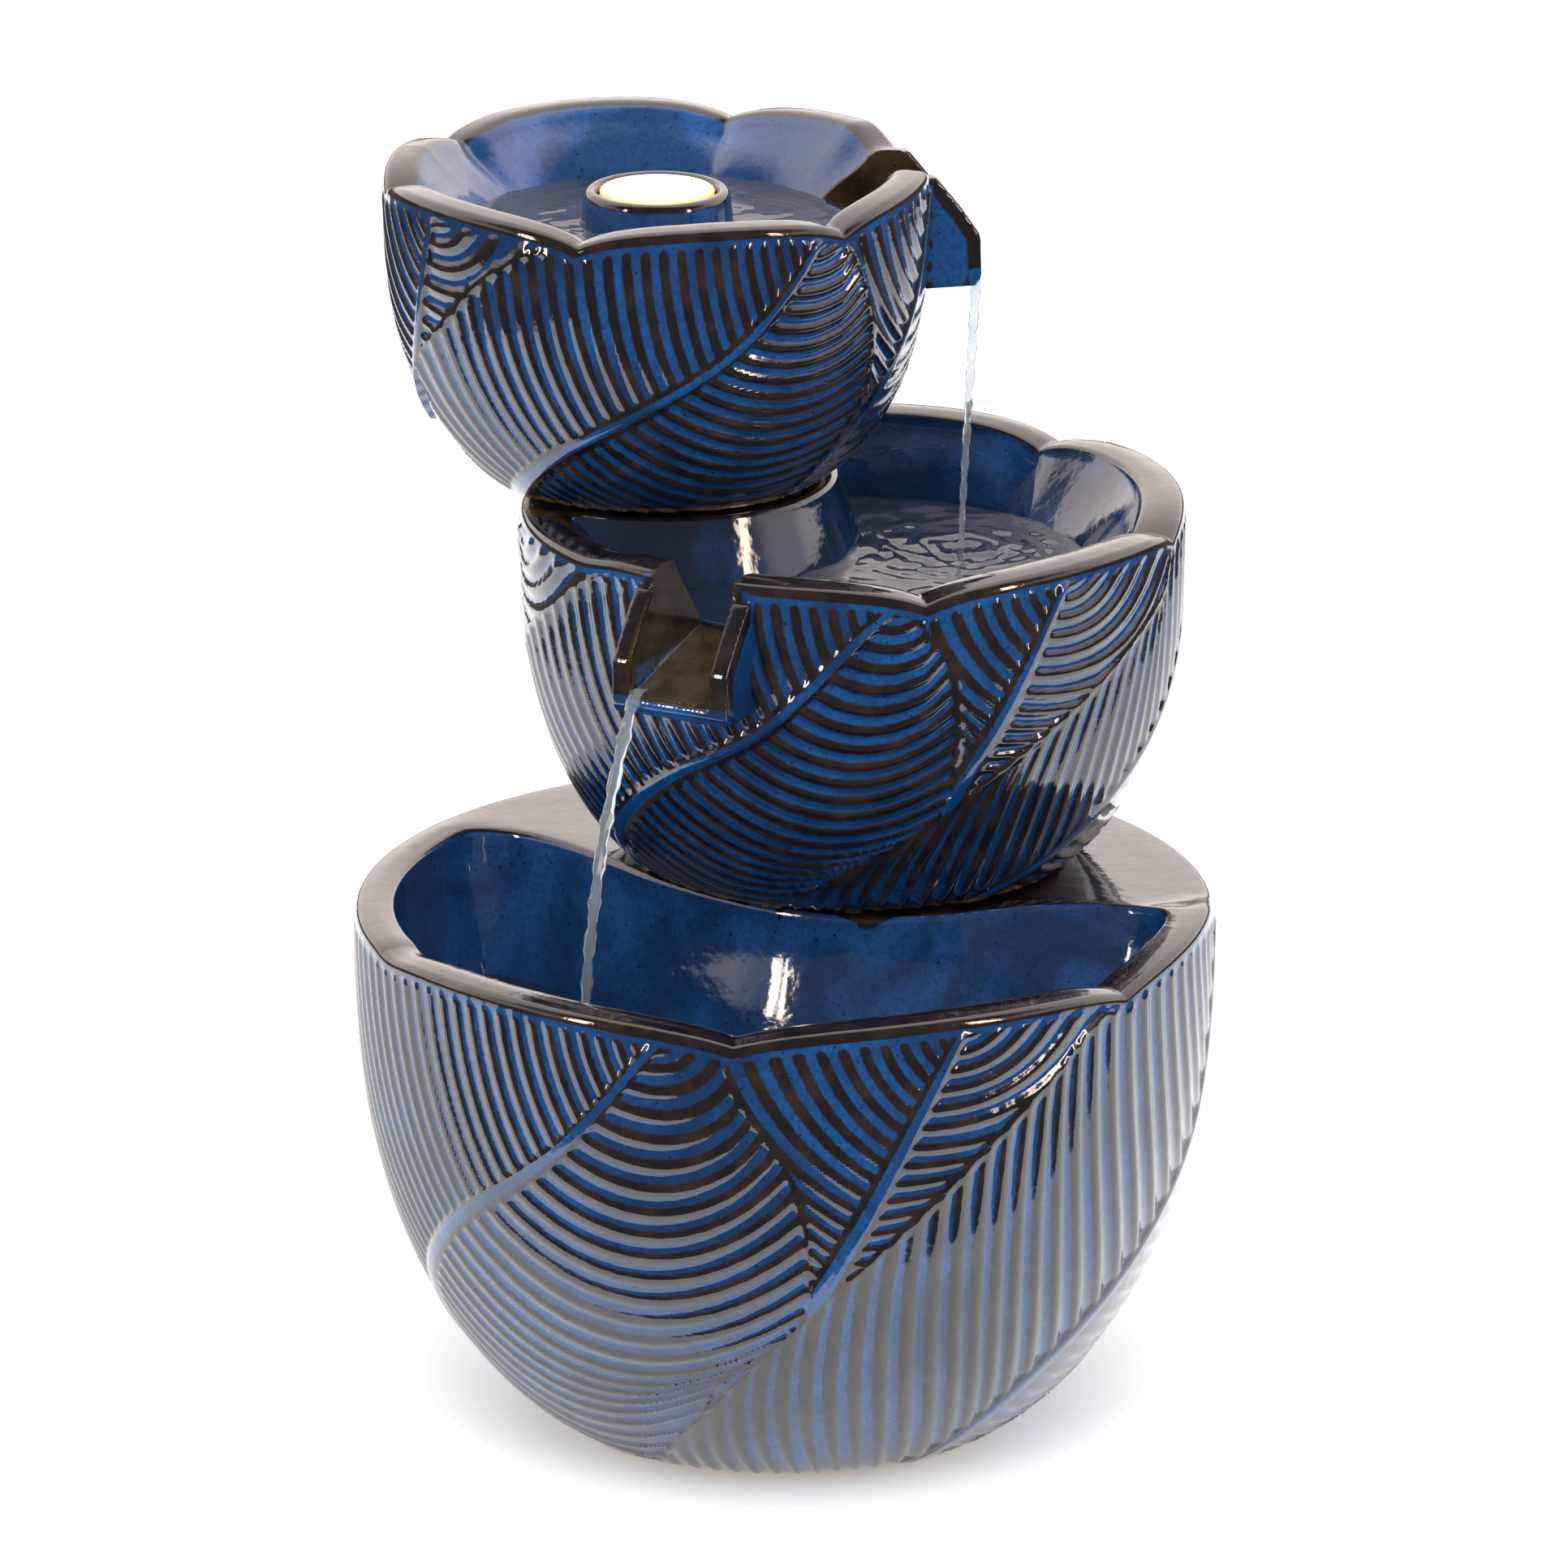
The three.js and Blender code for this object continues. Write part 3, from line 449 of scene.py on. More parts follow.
def wall_height(bowl, share, angle):
    """Height of a point of the outer wall, stretched into the petals near the rim."""
    full = bowl.level - bowl.bottom - RIM_ROUND
    return bowl.bottom + share * full + rim_lift(bowl, angle) * smooth((share - 0.6) / 0.4)


def outside_rows(bowl, chart, height):
    """Rings of points up the carved outside and over the edge of the rim."""
    centre, angle = bowl.at, np.radians(chart.angle)
    rows = [ring(centre, angle, bowl.foot - 2, bowl.bottom)]
    for k, share in enumerate(chart.share):
        radius = chart.radius[k] + height[k] * chart.normal[k, 0]
        level = wall_height(bowl, share, chart.angle) + height[k] * chart.normal[k, 1]
        rows.append(ring(centre, angle, radius, np.maximum(level, bowl.bottom + 0.05 * k)))
    top = bowl.level + rim_lift(bowl, chart.angle)
    for turn in np.radians((15, 30, 45, 60, 75, 90)):
        radius = bowl.rim - RIM_ROUND * (1 - math.cos(turn))
        rows.append(ring(centre, angle, radius, top - RIM_ROUND * (1 - math.sin(turn))))
    return rows


def plate_rows(outer, inner, deck, steps):
    """Rings from the rim to the edge of an opening, settling to the height of the deck."""
    rows = []
    for t in np.linspace(0, 1, steps + 1)[1:]:
        flat = outer[:, :2] + (inner[:, :2] - outer[:, :2]) * t
        wide = np.clip(np.linalg.norm(inner[:, :2] - outer[:, :2], axis=1) / 30 - 0.35, 0, 1)
        level = outer[:, 2] + (deck - outer[:, 2]) * smooth(t * 2) * wide
        crown = 0.7 * math.sin(math.pi * t) * (1 - wide)
        rows.append(np.column_stack([flat, level + crown]))
    return rows


def rows_to_opening(bowl, chart, height, loop, steps):
    """Rings up the outside, over the plate and down into an opening, and how high its edge lies."""
    rows = outside_rows(bowl, chart, height)
    rows += plate_rows(rows[-1], pushed(loop, WELL_ROUND), bowl.deck, steps)
    top = rows[-1][:, 2]
    for turn in np.radians((18, 36, 54, 72, 90)):
        flat = pushed(loop, WELL_ROUND * (1 - math.sin(turn)))
        rows.append(np.column_stack([flat, top - WELL_ROUND * (1 - math.cos(turn))]))
    return rows, top


def inside_profile(bowl, low, high, steps=14):
    """Profile of the space inside the outer wall between two heights."""
    heights = np.linspace(low, high, steps)
    shares = (heights - bowl.bottom) / (bowl.level - bowl.bottom)
    return list(zip(outer_radius(bowl, shares) - WALL, heights))


def well_loop(chart):
    """Outline of the crescent opening of the base, one point for each column of the chart."""
    first, last = WELL_ENDS
    turned_by = (chart.angle - last) % 360 + last - 360
    front = turned_by < first
    arc = np.radians(turned_by)
    loop = WELL_RADIUS * np.stack([np.cos(arc), np.sin(arc)], 1)
    corner = [WELL_RADIUS * np.array([math.cos(a), math.sin(a)]) for a in np.radians(WELL_ENDS)]
    back = curve([corner[0], *WELL_BACK, corner[1]], 400)
    where = np.linspace(0, 1, 400)
    part = (turned_by[~front] - first) / (last - first)
    loop[~front] = np.stack([np.interp(part, where, back[:, k]) for k in (0, 1)], 1)
    return rounded(loop, 5)


def held_inside(loop, bowl, height):
    share = (height - bowl.bottom) / (bowl.level - bowl.bottom)
    away = loop - bowl.at
    limit = outer_radius(bowl, share) - WALL
    return away * np.minimum(1, limit / np.hypot(*away.T))[:, None] + bowl.at


def hose_hole(bowl, place, low, high):
    centre, radius = HOSE_HOLES[place]
    return combine(bowl, turned("hose_hole", centre, [(radius, low), (radius, high)], 4 * radius))


def make_base(chart, height):
    loop = well_loop(chart)
    rows, top = rows_to_opening(BASE, chart, height, loop, 9)
    for t in np.linspace(0, 1, 31)[1:]:
        level = (top - WELL_ROUND) * (1 - t) + CURTAIN_BOTTOM * t
        flared = pushed(loop, -WELL_FLARE * smooth(t * 2.0))
        rows.append(np.column_stack([held_inside(flared, BASE, level.mean()), level]))
    bowl = closed_grid("base_bowl", rows, [(0, 0, BASE.bottom), (20, -80, CURTAIN_BOTTOM)])
    low = turned("low_space", (0, 0), inside_profile(BASE, BASE_FLOOR, CURTAIN_BOTTOM + 0.5))
    high = turned("high_space", (0, 0), inside_profile(BASE, CURTAIN_BOTTOM, BASE_CEILING))
    grown = pushed(loop, WALL - 1)[::4]
    combine(high, prism("curtain", grown, CURTAIN_BOTTOM - 5, BASE_CEILING + 7))
    combine(bowl, high)
    combine(bowl, low)
    hose_hole(bowl, "base", 190, 230)
    cord_hole = rod("cord_hole", (0, 0, CORD_HOLE.height), CORD_HOLE.direction,
                    CORD_HOLE.radius, CORD_HOLE.near, CORD_HOLE.far)
    return combine(bowl, cord_hole)


def rod(name, origin, direction, radius, near, far, steps=40):
    """A level rod that points away from a vertical axis."""
    out, side = (np.append(v, 0) for v in heading(direction))
    turn = np.linspace(0, 2 * math.pi, steps, endpoint=False)[:, None]
    circle = radius * (np.cos(turn) * side + np.sin(turn) * np.array([0, 0, 1]))
    rows = [np.array(origin) + out * d + circle for d in (near, far)]
    return closed_grid(name, rows, [np.array(origin) + out * near, np.array(origin) + out * far])


def lune(chart, radius, seat):
    """Outline of the middle basin where it is cut back by the round seat of the top bowl."""
    centre, seat_at = np.array(MIDDLE.at), np.array(PEDESTAL)
    gap = seat_at - centre
    between, toward = math.hypot(*gap), math.degrees(math.atan2(gap[1], gap[0]))
    half = math.degrees(math.acos((radius**2 + between**2 - seat**2) / (2 * radius * between)))
    seat_half = math.degrees(math.acos((seat**2 + between**2 - radius**2) / (2 * seat * between)))
    first, last = LUNE_ENDS
    turned_by = (chart.angle - last) % 360 + last - 360
    front = turned_by < first
    t = (turned_by - (last - 360)) / (first - last + 360)
    arc = np.radians(toward + half - 360 + t * (360 - 2 * half))
    loop = centre + radius * np.stack([np.cos(arc), np.sin(arc)], 1)
    t = (turned_by[~front] - first) / (last - first)
    arc = np.radians(toward + 180 + seat_half - 2 * seat_half * t)
    loop[~front] = seat_at + seat * np.stack([np.cos(arc), np.sin(arc)], 1)
    return rounded(loop, 5)


def middle_basin(grow):
    """The space of the middle basin, grown on all sides and cut back by the seat of the top bowl."""
    wall = [(r + grow, MIDDLE.level + d - grow) for d, r, s in MIDDLE_LEVELS[::-1]]
    seat = [(s - grow, MIDDLE.deck + d - grow) for d, r, s in MIDDLE_LEVELS[::-1]]
    basin = turned("basin", MIDDLE.at, [*wall, (wall[-1][0], 380)])
    return combine(basin, turned("seat", PEDESTAL, [(seat[0][0], 200), *seat]))


def make_middle(chart, height):
    rows, top = rows_to_opening(MIDDLE, chart, height, lune(chart, *MIDDLE_LEVELS[0][1:]), 8)
    depths, radii, seats = np.array(MIDDLE_LEVELS).T
    start = top - WELL_ROUND - MIDDLE.level
    for t in np.linspace(0, 1, 34)[1:]:
        depth = -MIDDLE_DEPTH * t
        loop = lune(chart, np.interp(-depth, -depths, radii), np.interp(-depth, -depths, seats))
        level = MIDDLE.level + start * (1 - t) ** 3 + depth
        x, y = (loop - MIDDLE.at).T
        dent = np.exp(-(to_notch(MIDDLE, np.degrees(np.arctan2(y, x))) / 2.6) ** 2)
        loop = pushed(loop, 1.5 * dent * smooth((depth + 45) / 35))
        rows.append(np.column_stack([loop, level]))
    floor = rows[-1][:, 2].mean()
    ends = [(*MIDDLE.at, MIDDLE.bottom), (55, 45, floor)]
    bowl = closed_grid("middle_tier_bowl", rows, ends)
    inside = inside_profile(MIDDLE, MIDDLE.bottom, MIDDLE_CEILING)
    foot = (MIDDLE.foot - WALL, MIDDLE.bottom - 10)
    hollow = turned("hollow", MIDDLE.at, [foot, *inside])
    combine(hollow, middle_basin(WALL))
    combine(bowl, hollow)
    return hose_hole(bowl, "middle", 320, 400)


TOP_INSIDE = ((99, -0.1), (97, -1.2), (95, -3.4), (92, -6.4), (78, -17), (69, -30), (62.5, -41),
              (58, -45), (54, -46))
TOP_FLOOR = ((50, -46), (44, -46), (38, -46))
COLLAR = ((36, -46), (33.4, -35), (31.6, -20), (30.4, -9), (30.0, -5.6), (29, -4.1), (27.6, -3.6),
          (25.6, -3.9), (24.6, -5))
LAMP_SEAT = ((24.6, 470), (10.5, 470), (10.5, 462.6), (25.5, 462.6), (25.5, 438), (66, 438),
             (70, 442.6), (77, 453.6), (86, 466.6), (92, 469.6))


def fine_profile(points, step):
    """A smooth profile through a few points, with a point about every step."""
    run = np.hypot(*np.diff(np.array(points, float), axis=0).T).sum()
    return curve(points, max(3, int(run / step)))


def make_top(chart, height):
    rows = outside_rows(TOP, chart, height)
    centre, angle = TOP.at, np.radians(chart.angle)
    lift = rim_lift(TOP, chart.angle)
    dent = np.exp(-(to_notch(TOP, chart.angle) / 3.2) ** 2)
    for radius in (104, 101):
        rows.append(ring(centre, angle, radius, TOP.level + lift + 0.4))
    for radius, depth in fine_profile(TOP_INSIDE, 3):
        fade = smooth((depth + 26) / 22)
        rows.append(ring(centre, angle, radius + 1.6 * dent * fade, TOP.level + depth + lift * fade))
    for radius, depth in (*fine_profile(TOP_FLOOR, 4), *fine_profile(COLLAR, 1.6)):
        rows.append(ring(centre, angle, radius, TOP.level + depth))
    for radius, level in (*LAMP_SEAT, *inside_profile(TOP, TOP.bottom, LAMP_SEAT[-1][1])[::-1]):
        rows.append(ring(centre, angle, radius, level))
    bowl = closed_grid("top_tier_bowl", rows)
    inlet_hole = turned("inlet_hole", INLET_AT, [(INLET_HOLE, 425), (INLET_HOLE, 455)], 40)
    return combine(bowl, inlet_hole)


# ---------------------------------------------------------------- spouts
def upright(name, spout, outline, half_width):
    """A prism across a spout from an outline of (distance from the bowl's axis, height)."""
    bowl, (out, side) = spout.bowl, heading(spout.angle)
    flat = [np.array([*(bowl.at + out * u + side * v), bowl.level + z])
            for v in (-half_width, half_width) for u, z in outline]
    faces = side_faces(len(outline))
    obj = new_object(name, flat, faces)
    corners = [obj.data.vertices[k].co for k in faces[-1]]
    across = sum((a.cross(b) for a, b in zip(corners, corners[1:] + corners[:1])), Vector())
    if across.dot(Vector((*side, 0))) < 0:
        obj.data.flip_normals()
    return obj


def channel_slope(spout):
    run = spout.bowl.rim + SPOUT_REACH - spout.root - SPOUT_LEVEL
    return (SPOUT_LIP - spout.floor) / run


def channel(spout):
    """The space that the water runs through, from inside the basin to past the lip."""
    rim, root, floor = spout.bowl.rim, spout.root, spout.floor
    end = rim + 40
    fall = channel_slope(spout) * (end - rim - SPOUT_REACH)
    outline = [(root - 30, SPOUT_TOP), (root - 30, floor), (root + SPOUT_LEVEL, floor),
               (end, SPOUT_LIP + fall), (end, SPOUT_TOP)]
    return upright("channel", spout, outline, SPOUT_WIDTH / 2)


def add_spout(obj, spout, basin):
    """Joins on a spout with soft edges, whose channel runs through the rim."""
    rim = spout.bowl.rim
    outside = [(rim + u, z) for u, z in SPOUT_BLOCK]
    outline = [*outside, (spout.root, outside[-1][1]), (spout.root, 0)]
    block = upright("spout", spout, outline, SPOUT_WIDTH / 2 + SPOUT_CHEEK)
    combine(block, channel(spout))
    combine(block, basin)
    step = block.modifiers.new("even", "REMESH")
    step.mode, step.voxel_size = "VOXEL", 0.0009
    bake(block)
    step = block.modifiers.new("soft", "SMOOTH")
    step.factor, step.iterations = 0.5, 9
    bake(block)
    combine(obj, channel(spout))
    return combine(obj, block, "UNION")


# ---------------------------------------------------------------- where the glaze is dark
def share_of(bowl, angle, height):
    """Share of the wall height at a point of the outer wall."""
    full = bowl.level - bowl.bottom - RIM_ROUND
    lift = rim_lift(bowl, angle)
    share = (height - bowl.bottom) / full
    for _ in range(8):
        share = (height - bowl.bottom - lift * smooth((share - 0.6) / 0.4)) / full
    return share


def sampled(chart, picture, angle, share):
    """Values of a chart at directions and shares of the wall height."""
    rows = np.interp(chart.run_of(np.clip(share, 0, 1)), chart.along, np.arange(len(chart.along)))
    columns = ((angle + 180) % 360) / 360 * len(chart.angle)
    low_row = np.minimum(rows.astype(int), len(chart.along) - 2)
    low_column = columns.astype(int) % len(chart.angle)
    next_column = (low_column + 1) % len(chart.angle)
    up, right = rows - low_row, columns - np.floor(columns)
    near = picture[low_row, low_column] * (1 - right) + picture[low_row, next_column] * right
    far = picture[low_row + 1, low_column] * (1 - right) + picture[low_row + 1, next_column] * right
    return near * (1 - up) + far * up


def spout_edge(out, up):
    """Distance from the outline of a spout's side, between its rim and the underside of its lip."""
    best = np.full(len(out), 99.0)
    for (u0, w0), (u1, w1) in zip(SPOUT_BLOCK[:-1], SPOUT_BLOCK[1:]):
        along, rise = u1 - u0, w1 - w0
        t = np.clip(((out - u0) * along + (up - w0) * rise) / (along**2 + rise**2), 0, 1)
        best = np.minimum(best, np.hypot(out - u0 - t * along, up - w0 - t * rise))
    return best


TRIM_WIDTH, COLLAR_RADIUS = 8, 28      # dark trim along a spout's edge; ring round the lamp


def store(obj, **layers):
    """Stores a number at each point of a mesh under each of the given names."""
    for name, values in layers.items():
        layer = obj.data.attributes.new(name, "FLOAT", "POINT")
        layer.data.foreach_set("value", values.astype(np.float32))


def spout_glaze(bowl, spout, x, y, up, facing_up, under_rim, dark):
    """How dark and how olive the glaze is once a spout has its trim, cheeks, channel and face."""
    ahead, aside = heading(spout.angle)
    out, across = x * ahead[0] + y * ahead[1], np.abs(x * aside[0] + y * aside[1])
    half, past_rim = SPOUT_WIDTH / 2, out - bowl.rim
    near = smooth((half + SPOUT_CHEEK + 3 - across) / 2) * (out > spout.root)
    outside = near * smooth((past_rim + 3.5) / 3)
    trim = smooth((TRIM_WIDTH - spout_edge(past_rim, up)) / 3.5) * smooth((up + 50) / 3)
    dark = np.maximum(dark * (1 - outside), 0.8 * trim * outside)
    cheeks = (across < half + 1.5) & (out > spout.root - 8) & under_rim
    cheeks = cheeks * smooth((up + 32) / 6)
    dark = np.maximum(dark, 0.75 * cheeks)
    level = smooth((facing_up - 0.5) / 0.3) * smooth((half + 1 - across) / 2)
    channel_floor = level * ((out > spout.root - 4) & (up < -18))
    face = smooth((past_rim - 12) / 4) * smooth((-38 - up) / 3) * near
    return dark * (1 - face) * (1 - channel_floor), np.maximum(channel_floor, 0.5 * cheeks)


def paint(obj, bowl, chart, ridge, inner_painted_light, spout=None):
    """Stores at each point how dark the glaze is, where it is the olive of a spout's channel, and the
    painted light and shade of the inner glaze.
    """
    count = len(obj.data.vertices)
    points, normals = np.empty(count * 3), np.empty(count * 3)
    obj.data.vertices.foreach_get("co", points)
    obj.data.vertex_normals.foreach_get("vector", normals)
    points, facing_up = points.reshape(-1, 3) / MM, normals.reshape(-1, 3)[:, 2]
    x, y, z = (points - (*bowl.at, 0)).T
    up = z - bowl.level
    radius, angle = np.hypot(x, y), np.degrees(np.arctan2(y, x))
    share = share_of(bowl, angle, z)
    on_wall = (radius > outer_radius(bowl, share) - 3.5) & (share < 1.02)
    ribs = np.where(on_wall, sampled(chart, ridge, angle, share), 0)
    past_top = up - rim_lift(bowl, angle)
    rim = smooth((radius - (bowl.rim - 9)) / 4) * smooth((past_top + 5.5) / 2)
    level = smooth((facing_up - 0.85) / 0.1) * smooth((up + 12) / 4)
    lip = smooth((past_top + 2.4) / 1.6)
    collar = (bowl is TOP) * (np.abs(radius - COLLAR_RADIUS) < 4) * smooth((up + 8) / 2)
    dark = np.max([ribs, 0.9 * rim, 0.85 * level, 0.8 * lip, 0.8 * collar], axis=0)
    foot = smooth((bowl.bottom + 3.2 - z) / 1.5) * (radius > bowl.foot - 12)
    seat = np.hypot(points[:, 0] - PEDESTAL[0], points[:, 1] - PEDESTAL[1])
    # Painted light and shade: each bowl's inner glaze is painted brighter or darker by its own amount for
    # the light inside it, and darker near the top bowl's seat as painted shade
    painted_seat_shade = smooth((MIDDLE_LEVELS[-1][2] + 3 - seat) / 6) if bowl is MIDDLE else 0
    inside = np.where(on_wall | (radius > bowl.rim - 4), 0, inner_painted_light * (1 - 0.7 * painted_seat_shade) + 0.05)
    olive = np.zeros(count)
    if spout:
        dark, olive = spout_glaze(bowl, spout, x, y, up, facing_up, past_top < 1, dark)
    store(obj, dark=dark, foot=foot, olive=olive, inside=inside)
    obj.data.shade_smooth()
    obj.data.set_sharp_from_angle(angle=math.radians(50))


# ---------------------------------------------------------------- materials
class Nodes:
    """Makes and joins shader nodes in one tree."""

    def __init__(self, tree):
        self.tree = tree

    def feed(self, socket, value):
        """Sets a socket to a colour or a number, or links another node's output to it."""
        if isinstance(value, tuple):
            socket.default_value = (*value, 1)
        elif isinstance(value, (int, float)):
            socket.default_value = value
        else:
            self.tree.links.new(value, socket)

    def node(self, kind, **inputs):
        made = self.tree.nodes.new("ShaderNode" + kind)
        for name, value in inputs.items():
            self.feed(made.inputs[name.replace("_", " ")], value)
        return made

    def range(self, value, low, high, to_low=0.0, to_high=1.0):
        made = self.node("MapRange", From_Min=low, From_Max=high, To_Min=to_low, To_Max=to_high)
        made.interpolation_type = "SMOOTHSTEP"
        self.feed(made.inputs["Value"], value)
        return made.outputs["Result"]

    def math(self, operation, a, b):
        made = self.node("Math")
        made.operation = operation
        for socket, value in zip(made.inputs, (a, b)):
            self.feed(socket, value)
        return made.outputs[0]

    def mix(self, factor, a, b):
        made = self.node("Mix")
        made.data_type = "RGBA"
        for index, value in ((0, factor), (6, a), (7, b)):
            self.feed(made.inputs[index], value)
        return made.outputs[2]


class Look(Nodes):
    """A procedural material, built up node by node."""

    def __init__(self, name):
        self.material = bpy.data.materials.new(name)
        self.material.use_nodes = True
        super().__init__(self.material.node_tree)
        self.shader = self.tree.nodes["Principled BSDF"]
        self.place = self.node("TexCoord").outputs["Object"]

    def noise(self, scale, detail=2.0, rough=0.5, warp=0.0):
        made = self.node("TexNoise", Scale=scale, Detail=detail, Roughness=rough, Distortion=warp,
                         Vector=self.place)
        return made.outputs["Fac"]

    def spots(self, scale, size):
        """Small round flecks: 1 in a fleck, 0 between them."""
        made = self.node("TexVoronoi", Scale=scale, Vector=self.place)
        return self.range(made.outputs["Distance"], size, size * 0.6, 0, 1)

    def stored(self, name):
        made = self.node("Attribute")
        made.attribute_name = name
        return made.outputs["Fac"]

    def bump(self, height, strength, distance):
        made = self.node("Bump", Strength=strength, Distance=distance, Height=height)
        self.feed(self.shader.inputs["Normal"], made.outputs["Normal"])

    def set(self, **values):
        for name, value in values.items():
            self.feed(self.shader.inputs[name.replace("_", " ")], value)
        return self


def make_glaze():
    """Cobalt glaze that breaks to brown-black on ridges, rims and edges."""
    look = Look("glaze")
    cloud = look.range(look.noise(16, 3, 0.6, 0.6), 0.35, 0.68)
    grain = look.noise(420, 4, 0.7)
    blue = look.mix(cloud, (0.002, 0.025, 0.085), (0.004, 0.066, 0.22))
    blue = look.mix(look.range(grain, 0.42, 0.62, 0, 0.45), blue, (0.002, 0.015, 0.06))
    # Painted light and shade: the inner glaze is its real blue, but how bright it is set by the stored
    # inside value is painted light for what reaches in
    shade = look.math("ADD", look.stored("inside"), look.range(cloud, 0, 1, -0.12, 0.12))
    inner_blue_painted_light = look.mix(look.range(shade, 0, 1), (0.003, 0.013, 0.032), (0.03, 0.13, 0.42))
    inner_blue_painted_light = look.mix(look.range(grain, 0.45, 0.65, 0, 0.35), inner_blue_painted_light, (0.002, 0.01, 0.03))
    blue = look.mix(look.range(look.stored("inside"), 0.01, 0.04), blue, inner_blue_painted_light)
    brown = look.mix(look.range(look.noise(70, 3, 0.6), 0.4, 0.7), (0.006, 0.004, 0.005),
                     (0.022, 0.012, 0.009))
    dark = look.math("ADD", look.stored("dark"), look.range(look.noise(260, 3, 0.6), 0.2, 0.8, -0.1, 0.1))
    colour = look.mix(look.range(dark, 0.26, 0.62), blue, brown)
    olive = look.mix(look.range(look.noise(60, 3, 0.6), 0.35, 0.7), (0.022, 0.012, 0.006),
                     (0.075, 0.048, 0.024))
    colour = look.mix(look.stored("olive"), colour, olive)
    colour = look.mix(look.spots(190, 0.12), colour, (0.002, 0.004, 0.012))
    colour = look.mix(look.stored("foot"), colour, (0.20, 0.11, 0.035))
    look.set(Base_Color=colour, Roughness=0.08, IOR=1.6, Coat_Roughness=0.03, Coat_IOR=1.6,
             Specular_IOR_Level=look.range(look.stored("olive"), 0, 0.5, 0.5, 0.14),
             Coat_Weight=look.range(look.stored("olive"), 0, 0.5, 0.6, 0.25))
    waves = look.math("ADD", look.noise(95, 2, 0.5), look.math("MULTIPLY", look.noise(500, 2, 0.5), 0.12))
    look.bump(waves, 0.3, 0.0011)
    return look.material


def make_plain(name, colour, rough, metal=0.0, mottle=0.2, scale=180, bump=0.1):
    """A moulded or machined material with a faint mottle and grain."""
    look = Look(name)
    shade = tuple(c * (1 - mottle) for c in colour)
    look.set(Base_Color=look.mix(look.noise(scale, 3, 0.6), colour, shade), Roughness=rough, Metallic=metal)
    look.bump(look.noise(scale * 6, 3, 0.6), bump, 0.0003)
    return look.material


def make_wet(name, scale, deep, pale, **values):
    look = Look(name)
    return look.set(Base_Color=look.mix(look.noise(scale, 2), deep, pale), **values).material


def make_lens():
    look = Look("lens")
    glow = look.mix(look.noise(60, 2), (1.0, 0.95, 0.84), (1.0, 0.98, 0.93))
    glow = look.mix(look.stored("rim"), glow, (0.8, 0.42, 0.16))
    look.set(Base_Color=glow, Roughness=0.3, Emission_Color=glow, Emission_Strength=1.1)
    return look.material


LOOKS = dict(
    glaze=make_glaze(),
    rubber=make_plain("rubber", (0.02, 0.02, 0.022), 0.75),
    foam=make_plain("foam", (0.03, 0.035, 0.04), 0.95, mottle=0.5, scale=700, bump=0.8),
    black_plastic=make_plain("black_plastic", (0.014, 0.015, 0.017), 0.42),
    grey_plastic=make_plain("grey_plastic", (0.05, 0.055, 0.06), 0.5),
    white_plastic=make_plain("white_plastic", (0.75, 0.74, 0.7), 0.4, mottle=0.06),
    lens=make_lens(),
    led=make_plain("led", (1.0, 0.82, 0.42), 0.3, mottle=0.1),
    board=make_plain("board", (0.8, 0.82, 0.8), 0.5, mottle=0.05),
    hose=make_plain("hose", (0.42, 0.48, 0.5), 0.3, mottle=0.1),
    steel=make_plain("steel", (0.62, 0.62, 0.63), 0.3, metal=1.0, mottle=0.15),
    shaft_ceramic=make_plain("shaft_ceramic", (0.88, 0.87, 0.84), 0.2, mottle=0.04),
    water=make_wet("water", 40, (0.012, 0.022, 0.05), (0.03, 0.05, 0.09),
                   Roughness=0.02, IOR=1.8, Alpha=0.68),
    film=make_wet("film", 50, (0.05, 0.04, 0.03), (0.12, 0.1, 0.07),
                  Roughness=0.03, IOR=1.4, Alpha=0.16),
    stream=make_wet("stream", 90, (0.55, 0.6, 0.66), (0.8, 0.83, 0.86),
                    Roughness=0.03, IOR=1.33, Transmission_Weight=0.85),
)
NODE_LOOKS = dict(
    rubber=("foot_pad", "middle_pad_1", "middle_pad_2", "middle_pad_3", "middle_pad_4", "top_pad_1",
            "top_pad_2", "top_pad_3", "lens_seal", "lamp_gasket", "lamp_washer", "lamp_gland",
            "inlet_washer", "hose_grommet", "cord_gland", "front_bush", "rear_bush", "suction_cup_1",
            "suction_cup_2", "suction_cup_3", "suction_cup_4", "pump_gland"),
    foam=("filter_foam",),
    black_plastic=("lamp_housing", "lamp_nut", "inlet_fitting", "inlet_nut", "cord_gland_nut",
                   "pump_body", "pump_chamber"),
    grey_plastic=("pump_cover", "flow_knob"),
    white_plastic=("lamp_reflector", "impeller"),
    led=("led_emitter",),
    board=("led_board",),
    hose=("riser_hose",),
    steel=("hose_clamp",),
    shaft_ceramic=("impeller_shaft",),
)


def wear(obj, look):
    obj.data.materials.clear()
    obj.data.materials.append(LOOKS[look])


# ---------------------------------------------------------------- water
def ripples(x, y, strength, centre=None, reach=30.0):
    """Height of moving water, with rings round the place where a stream falls in."""
    bent = x + 5 * np.sin(y * 0.13 + 0.7)
    calm = (np.sin(bent * 0.21 + y * 0.09) + np.sin(-bent * 0.11 + y * 0.26 + 1.3)
            + 0.6 * np.sin(bent * 0.43 - y * 0.37 + 2.1) + 0.45 * np.sin(bent * 0.71 + y * 0.55))
    height = 0.16 * strength * calm
    if centre:
        away = np.hypot(x - centre[0], y - centre[1]) + 1.6 * np.sin(bent * 0.37) + 1.2 * np.sin(y * 0.53)
        height = height + 0.8 * strength * np.cos(away * 0.62) * np.exp(-away / reach)
    return height


WATER_DEPTH = 1.6                      # thickness of the sheet that stands for a pool


